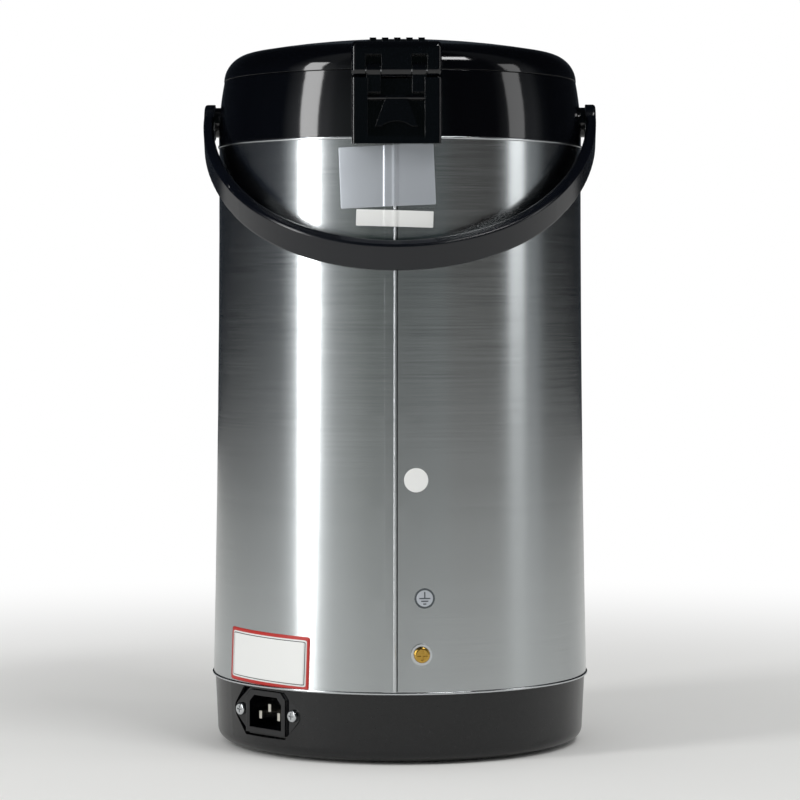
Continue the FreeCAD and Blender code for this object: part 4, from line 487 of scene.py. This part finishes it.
@dataclass
class Patch:
    """A label, disc or printed mark on the sleeve, as someone behind the pot sees it."""

    name: str
    along: float
    z: float
    width: float
    height: float
    corner: float
    finish: str
    tilt: float = 0.0
    lift: float = LABEL_LIFT
    thick: float = LABEL_THICK
    cells: int = LABEL_CELLS
    lapped: bool = True

    def build(
            self,
            curve: SleeveCurve,
            finishes: dict[str, bpy.types.Material]) -> bpy.types.Object:
        """Build the patch as a thin sheet with rounded corners.

        A square grid of (u, v) in -1 to 1 is scaled to the width and height. Past each corner's
        centre, the offset is shortened by its larger part over its length, which bends the square
        corner into a quarter circle. The sheet is then tilted and laid on the sleeve's curve.

        Args:
            curve: The sleeve's curve.
            finishes: Materials by name.

        Returns:
            The patch.
        """
        steps = np.linspace(-1.0, 1.0, self.cells + 1)
        u, v = np.meshgrid(steps, steps, indexing="ij")
        a = u * self.width / 2
        b = v * self.height / 2
        past_a = np.maximum(np.abs(a) - (self.width / 2 - self.corner), 0.0)
        past_b = np.maximum(np.abs(b) - (self.height / 2 - self.corner), 0.0)
        length = np.hypot(past_a, past_b)
        tiny = 1e-12
        longer = np.maximum(past_a, past_b)
        shrink = np.where(length > 0, longer / np.maximum(length, tiny), 1.0)
        a = np.sign(a) * (np.abs(a) - past_a * (1.0 - shrink))
        b = np.sign(b) * (np.abs(b) - past_b * (1.0 - shrink))
        turn = math.radians(self.tilt)
        right = a * math.cos(turn) - b * math.sin(turn)
        up = a * math.sin(turn) + b * math.cos(turn)
        along = self.along - right
        lift = curve.lap(along) * self.lapped + self.lift
        points = curve.point(along, self.z + up, lift)
        piece = grid_mesh(self.name, points, wrap=False, flip=False)
        sheet = piece.modifiers.new("thickness", "SOLIDIFY")
        sheet.thickness = self.thick
        sheet.offset = -1.0
        return dressed(piece, finishes[self.finish], "pot")


# ---------------------------------------------------------------- sub-assemblies


@dataclass
class Labels:
    """Plain label stock and generic marks on the sleeve."""

    curve: SleeveCurve
    foil_place: tuple[float, float] = (5.1 * MM, 297.0 * MM)
    foil_size: tuple[float, float] = (49.0 * MM, 31.0 * MM)
    foil_corner: float = 0.8 * MM
    foil_tilt: float = 2.5
    strip_place: tuple[float, float] = (1.0 * MM, 275.5 * MM)
    strip_size: tuple[float, float] = (39.5 * MM, 8.3 * MM)
    strip_corner: float = 0.5 * MM
    strip_tilt: float = -1.7
    notice_place: tuple[float, float] = (74.0 * MM, 50.9 * MM)
    notice_size: tuple[float, float] = (58.0 * MM, 27.2 * MM)
    # Corners of the notice's four layers, from the edge inwards.
    notice_corners: tuple[float, ...] = (1.6 * MM, 1.0 * MM, 0.8 * MM, 0.6 * MM)
    notice_tilt: float = -1.5
    notice_border: float = 1.75 * MM
    # The rule inside the notice: how far in, both sides together and in borders, and how wide.
    notice_inset: float = 2.9
    notice_rule: float = 0.35 * MM
    seal_place: tuple[float, float] = (-9.8 * MM, 143.8 * MM)
    seal_size: float = 12.2 * MM
    earth_place: tuple[float, float] = (-14.0 * MM, 84.4 * MM)
    earth_size: float = 10.2 * MM
    earth_ring: float = 1.0 * MM
    earth_line: float = 0.65 * MM
    step: float = 0.06 * MM
    # The earth sign inside its ring, as shares of the ring's inside: the stem's middle and height,
    # the bars' widths from the top down, and the distance between them.
    stem_middle: float = 0.2
    stem_height: float = 0.42
    bar_widths: tuple[float, ...] = (0.68, 0.44, 0.2)
    bar_pitch: float = 0.17

    def patches(self) -> list[Patch]:
        """Every patch, the lower layers first."""
        w, h = self.notice_size
        border = self.notice_border
        inset = self.notice_inset * border
        inside = inset + 2 * self.notice_rule
        tilt = self.notice_tilt
        corner = self.notice_corners
        layer = [LABEL_LIFT + i * self.step for i in range(len(corner))]
        seal = self.seal_size
        ring = self.earth_size
        inner = ring - 2 * self.earth_ring
        rows = [
            Patch("foil_plate", *self.foil_place, *self.foil_size, self.foil_corner, "foil",
                  self.foil_tilt, cells=LONG_LABEL_CELLS),
            Patch("paper_strip", *self.strip_place, *self.strip_size, self.strip_corner,
                  "paper_white", self.strip_tilt, cells=LONG_LABEL_CELLS),
            Patch("notice_edge", *self.notice_place, w, h, corner[0], "ink_red", tilt),
            Patch("notice_field", *self.notice_place, w - 2 * border, h - 2 * border, corner[1],
                  "paper_white", tilt, layer[1]),
            Patch("notice_line", *self.notice_place, w - inset, h - inset, corner[2],
                  "ink_black", tilt, layer[2]),
            Patch("notice_inside", *self.notice_place, w - inside, h - inside, corner[3],
                  "paper_white", tilt, layer[3]),
            Patch("round_seal", *self.seal_place, seal, seal, seal / 2, "paper_white"),
            Patch("earth_ring", *self.earth_place, ring, ring, ring / 2, "ink_grey"),
            Patch("earth_field", *self.earth_place, inner, inner, inner / 2, "foil", 0.0, layer[1]),
        ]
        return rows + self.earth_symbol(inner)

    def earth_symbol(self, inner: float) -> list[Patch]:
        """The plain sign for protective earth: a stem over bars that shorten downwards.

        Args:
            inner: Width inside the ring.

        Returns:
            The stem and the bars.
        """
        along, z = self.earth_place
        lift = LABEL_LIFT + 2 * self.step
        bar = self.earth_line
        stem_z = z + inner * self.stem_middle
        rows = [Patch("earth_stem", along, stem_z, bar, inner * self.stem_height, bar / 4,
                      "ink_grey", 0.0, lift, cells=MARK_CELLS)]
        for i, share in enumerate(self.bar_widths):
            bar_z = z - i * inner * self.bar_pitch
            rows.append(Patch(f"earth_bar_{i}", along, bar_z, inner * share, bar, bar / 4,
                              "ink_grey", 0.0, lift, cells=MARK_CELLS))
        return rows

    def build(self, finishes: dict[str, bpy.types.Material]) -> None:
        """Build every patch."""
        for patch in self.patches():
            patch.build(self.curve, finishes)


@dataclass
class WeldLine:
    """The lap's edge: a bright half-round bead with a painted shadow, a thin black strip, to one
    side.
    """

    curve: SleeveCurve
    # The painted shadow beside the bead: a flat black strip that stands in for the shade under the
    # lap's edge.
    shadow_along: float = -0.25 * MM
    shadow_width: float = 0.7 * MM
    shadow_lift: float = 0.1 * MM
    shadow_cells: int = 60
    # The bead's two sides lie this far under the sheet, so that no gap shows beneath it.
    sink: float = 0.02 * MM
    columns: int = 13
    rows: int = 80
    ends: tuple[float, float] = (37.6 * MM, 315.4 * MM)

    def build(self, finishes: dict[str, bpy.types.Material]) -> bpy.types.Object:
        """Build the bead and the painted shadow strip beside it.

        The bead's height over the lap is its full height times the cosine across its width.

        Args:
            finishes: Materials by name.

        Returns:
            The painted shadow strip.
        """
        curve = self.curve
        low, high = self.ends
        across = np.linspace(-1.0, 1.0, self.columns)
        heights = np.linspace(low, high, self.rows)
        s, z = np.meshgrid(across, heights, indexing="ij")
        rise = curve.bead_height * np.cos(s * math.pi / 2) - self.sink
        along = curve.bead_along + s * curve.bead_width / 2
        points = curve.point(along, z, rise + curve.lap_step)
        piece = grid_mesh("seam_bead", points, wrap=False, flip=True)
        dressed(piece, finishes["screw_steel"], "pot")
        # Painted shadow: black ink laid flat beside the bead where the lap's edge casts its shade.
        painted_shadow = Patch("seam_painted_shadow", self.shadow_along, (low + high) / 2, self.shadow_width, high - low,
                    self.shadow_width / 4, "ink_black", lift=self.shadow_lift, cells=self.shadow_cells,
                    lapped=False)
        return painted_shadow.build(curve, finishes)


@dataclass
class RolledLips:
    """The sleeve's two edges, rolled over into a thin bright bead."""

    curve: SleeveCurve
    half_height: float = 0.6 * MM
    proud: float = 0.32 * MM
    step: float = 0.4 * MM
    sides: int = 240
    rows: int = 11
    places: tuple[tuple[str, float], ...] = (
        ("rolled_lip_top", 316.35 * MM), ("rolled_lip_low", 36.65 * MM))

    def build(self, finishes: dict[str, bpy.types.Material]) -> None:
        """Build each bead: a half ellipse carried round the sleeve to where it began."""
        turn = np.linspace(0.0, 2 * math.pi, self.sides + 1)[:-1]
        slant = np.linspace(-math.pi / 2, math.pi / 2, self.rows)
        t, v = np.meshgrid(turn, slant, indexing="ij")
        for name, height in self.places:
            z = height + self.half_height * np.sin(v)
            r = self.curve.radius(np.array([height]))[0] + self.step + self.proud * np.cos(v)
            points = np.stack([r * np.sin(t), r * np.cos(t), z], axis=-1)
            piece = grid_mesh(name, points, wrap=True, flip=True)
            dressed(piece, finishes["screw_steel"], "pot")


@dataclass
class CadFinishes:
    """Finishes of the frame's own nodes, by the record's slots."""

    def build(self, finishes: dict[str, bpy.types.Material]) -> None:
        """Give each node its slot's material."""
        for row in frame["record"]["subparts"]:
            node = frame["nodes"][row["node"]]
            node.data.materials.clear()
            node.data.materials.append(finishes[row["material_slot"]])
            log.info("node %s takes %s", row["node"], row["material_slot"])


@dataclass
class PumpSprings:
    """The bellows and the pump spring, each given a mesh of its own; in the pot they shorten as the
    push plate goes down.
    """

    fixed_z: float = 318.4 * MM
    travel: float = 25.0 * MM
    nodes: tuple[str, ...] = ("bellows", "pump_spring")

    def build(self) -> None:
        """Give each part a mesh of its own and log its height above the fixed end.
        """
        for name in self.nodes:
            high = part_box(name)[1]
            height = high[2] - self.fixed_z
            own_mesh(frame["nodes"][name])
            log.info("node %s shortens from %.1f mm", name, height / MM)


# ---------------------------------------------------------------- studio


@dataclass(frozen=True)
class Softbox:
    """A rectangular soft lamp that faces the pot.

    The bearing is in degrees from the hinge side towards +X. Distance is from the pot's axis, and
    aim is the height on that axis that the lamp faces.
    """

    name: str
    bearing: float
    height: float
    distance: float
    size: tuple[float, float]
    watts: float
    aim: float

    def build(self) -> bpy.types.Object:
        """Build the lamp."""
        data = bpy.data.lights.new(self.name, "AREA")
        data.shape = "RECTANGLE"
        data.size, data.size_y = self.size
        data.energy = self.watts
        made = bpy.data.objects.new(self.name, data)
        turn = math.radians(self.bearing)
        x, y = self.distance * math.sin(turn), self.distance * math.cos(turn)
        made.location = (x, y, self.height)
        towards = Vector((0.0, 0.0, self.aim)) - made.location
        made.rotation_euler = towards.to_track_quat("-Z", "Y").to_euler()
        bpy.context.scene.collection.objects.link(made)
        return made


@dataclass
class Studio:
    """Pale floor, white background, soft lamps and a screened room that only reflections see."""

    floor_half: float = 8.0
    floor_clear: tuple[float, float] = (0.22, 0.95)
    room_radius: float = 3.2
    room_height: float = 3.4
    room_wall: float = 1.2
    room_foot: float = -0.02
    room_sides: int = 96
    room_rows: int = 17
    # Heights between which the screens dim, and what is left of them above.
    dim_heights: tuple[float, float] = (0.3, 2.4)
    dim_share: float = 0.3
    fill: float = 0.5
    # The room's screens, as bearings from the hinge side towards +X and their colours.
    screens: tuple[tuple[float, str], ...] = (
        (-180.0, "#3A3F45"), (-150.0, "#1A1C20"), (-110.0, "#101217"), (-102.0, "#34373A"),
        (-94.0, "#85888B"), (-75.0, "#85888A"), (-63.0, "#1E1A19"), (-34.0, "#1A1716"),
        (-27.0, "#384244"), (-8.0, "#2A3436"), (14.0, "#35403E"), (24.0, "#656B69"),
        (40.0, "#95999A"), (45.0, "#C4C7C9"), (65.0, "#BEC2C5"), (77.0, "#262C37"),
        (112.0, "#10151E"), (150.0, "#1E2228"), (180.0, "#3A3F45"))
    lamps: tuple[Softbox, ...] = (
        Softbox("softbox_left", 56.5, 0.75, 1.9, (0.42, 1.5), 17.0, 0.25),
        Softbox("softbox_right", -78.0, 0.9, 2.2, (0.5, 1.2), 3.8, 0.2),
        Softbox("softbox_top", -40.0, 1.75, 1.25, (0.75, 0.3), 9.0, 0.35))

    def floor(self) -> bpy.types.Object:
        """The floor: a plain square that fades to the white background away from the pot.

        Near the pot the paint and its shadow show. The share of plain white grows with the
        distance from the pot, by a smooth step between the two clear radii.
        """
        material, tree, output = new_material("paint_rolled_white")
        place = add(tree, "ShaderNodeTexCoord")
        away = add(tree, "ShaderNodeVectorMath", {0: place.outputs["Object"]}, operation="LENGTH")
        near, far = self.floor_clear
        share = add(tree, "ShaderNodeMapRange", {
            "Value": away.outputs["Value"], "From Min": near, "From Max": far},
            interpolation_type="SMOOTHSTEP")
        paint = add(tree, "ShaderNodeBsdfDiffuse", {"Color": linear("#F4F4F2")})
        plain = add(tree, "ShaderNodeEmission", {"Color": WHITE, "Strength": 1.0})
        ray = add(tree, "ShaderNodeLightPath")
        seen = add(tree, "ShaderNodeMath", {
            0: share.outputs["Result"], 1: ray.outputs["Is Camera Ray"]}, operation="MULTIPLY")
        mixed = add(tree, "ShaderNodeMixShader", {
            0: seen.outputs["Value"], 1: paint.outputs["BSDF"], 2: plain.outputs["Emission"]})
        tree.links.new(mixed.outputs["Shader"], output.inputs["Surface"])
        side = np.linspace(-self.floor_half, self.floor_half, 3)
        x, y = np.meshgrid(side, side, indexing="ij")
        points = np.stack([x, y, np.zeros_like(x)], axis=-1)
        piece = grid_mesh("studio_floor", points, wrap=False, flip=False)
        piece.data.materials.append(material)
        return piece

    def room(self) -> bpy.types.Object:
        """The room: screens of grey and white around the pot, seen by glossy rays alone.

        The bearing is the angle of (x, y) from +Y, as a share of the turn, and a ramp of plain
        colours gives each screen. Height darkens the screens towards the ceiling.
        """
        material, tree, output = new_material("cloth_stretched_screens")
        place = add(tree, "ShaderNodeTexCoord")
        parts = add(tree, "ShaderNodeSeparateXYZ", {"Vector": place.outputs["Object"]})
        bearing = add(tree, "ShaderNodeMath", {0: parts.outputs["X"], 1: parts.outputs["Y"]},
                      operation="ARCTAN2")
        share = add(tree, "ShaderNodeMapRange", {
            "Value": bearing.outputs["Value"], "From Min": -math.pi, "From Max": math.pi})
        ramp = add(tree, "ShaderNodeValToRGB", {"Fac": share.outputs["Result"]})
        stops = ramp.color_ramp.elements
        ready = len(stops)
        for i, (degrees, colour) in enumerate(self.screens):
            at = (degrees + 180.0) / 360.0
            stop = stops[i] if i < ready else stops.new(at)
            stop.position = at
            stop.color = linear(colour)
        dim_low, dim_high = self.dim_heights
        dim = add(tree, "ShaderNodeMapRange", {
            "Value": parts.outputs["Z"], "From Min": dim_low, "From Max": dim_high,
            "To Min": 1.0, "To Max": self.dim_share}, interpolation_type="SMOOTHSTEP")
        glow = add(tree, "ShaderNodeEmission", {
            "Color": ramp.outputs["Color"], "Strength": dim.outputs["Result"]})
        tree.links.new(glow.outputs["Emission"], output.inputs["Surface"])
        turn = np.linspace(0.0, 2 * math.pi, self.room_sides + 1)[:-1]
        # The wall's profile rises straight and then closes over the pot in a quarter ellipse.
        arch = np.linspace(0.0, math.pi / 2, self.room_rows)
        vault = self.room_height - self.room_wall
        r = np.concatenate([[self.room_radius], self.room_radius * np.cos(arch)])
        z = np.concatenate([[self.room_foot], self.room_wall + vault * np.sin(arch)])
        t, row = np.meshgrid(turn, np.arange(len(r)), indexing="ij")
        points = np.stack([r[row] * np.sin(t), r[row] * np.cos(t), z[row]], axis=-1)
        piece = grid_mesh("studio_room", points, wrap=True, flip=True)
        piece.data.materials.append(material)
        piece.visible_camera = False
        piece.visible_diffuse = False
        piece.visible_transmission = False
        piece.visible_shadow = False
        return piece

    def world(self) -> None:
        """White for what the camera, metal and glass see, and an even fill for the rest."""
        made = bpy.data.worlds.new("studio_world")
        bpy.context.scene.world = made
        made.use_nodes = True
        tree = made.node_tree
        tree.nodes.clear()
        ray = add(tree, "ShaderNodeLightPath")
        sharp = add(tree, "ShaderNodeMath", {
            0: ray.outputs["Is Camera Ray"], 1: ray.outputs["Is Glossy Ray"]}, operation="MAXIMUM")
        seen = add(tree, "ShaderNodeMath", {
            0: sharp.outputs["Value"], 1: ray.outputs["Is Transmission Ray"]}, operation="MAXIMUM")
        strength = add(tree, "ShaderNodeMapRange", {
            "Value": seen.outputs["Value"], "To Min": self.fill, "To Max": 1.0})
        sky = add(tree, "ShaderNodeBackground", {
            "Color": WHITE, "Strength": strength.outputs["Result"]})
        add(tree, "ShaderNodeOutputWorld", {"Surface": sky.outputs["Background"]})

    def build(self) -> None:
        """Build the studio."""
        self.world()
        self.floor()
        self.room()
        for lamp in self.lamps:
            lamp.build()
        log.info("studio built")


@dataclass
class View:
    """The camera, level with the pot's upper half and straight behind it."""

    place: tuple[float, float, float] = (-0.027, 1.5498, 0.228)
    lens: float = 130.0
    sensor: float = 36.0
    shift: float = -0.109
    clip: tuple[float, float] = (0.05, 60.0)

    def build(self) -> bpy.types.Object:
        """Build the camera and make it the scene's."""
        data = bpy.data.cameras.new("rear_view")
        data.lens = self.lens
        data.sensor_width = self.sensor
        data.shift_y = self.shift
        data.clip_start, data.clip_end = self.clip
        made = bpy.data.objects.new("rear_view", data)
        made.location = self.place
        towards = Vector((0.0, 0.0, self.place[2])) - made.location
        made.rotation_euler = towards.to_track_quat("-Z", "Y").to_euler()
        bpy.context.scene.collection.objects.link(made)
        bpy.context.scene.camera = made
        return made


def main() -> None:
    """Build the object's looks, the studio and the camera, in that order."""
    logging.basicConfig(level=logging.INFO, format="%(name)s: %(message)s")
    bpy.context.scene.view_settings.view_transform = "Standard"
    finishes = Finishes().made()
    curve = SleeveCurve()
    CadFinishes().build(finishes)
    WeldLine(curve).build(finishes)
    RolledLips(curve).build(finishes)
    Labels(curve).build(finishes)
    PumpSprings().build()
    Studio().build()
    View().build()


if __name__ == "__main__":
    main()
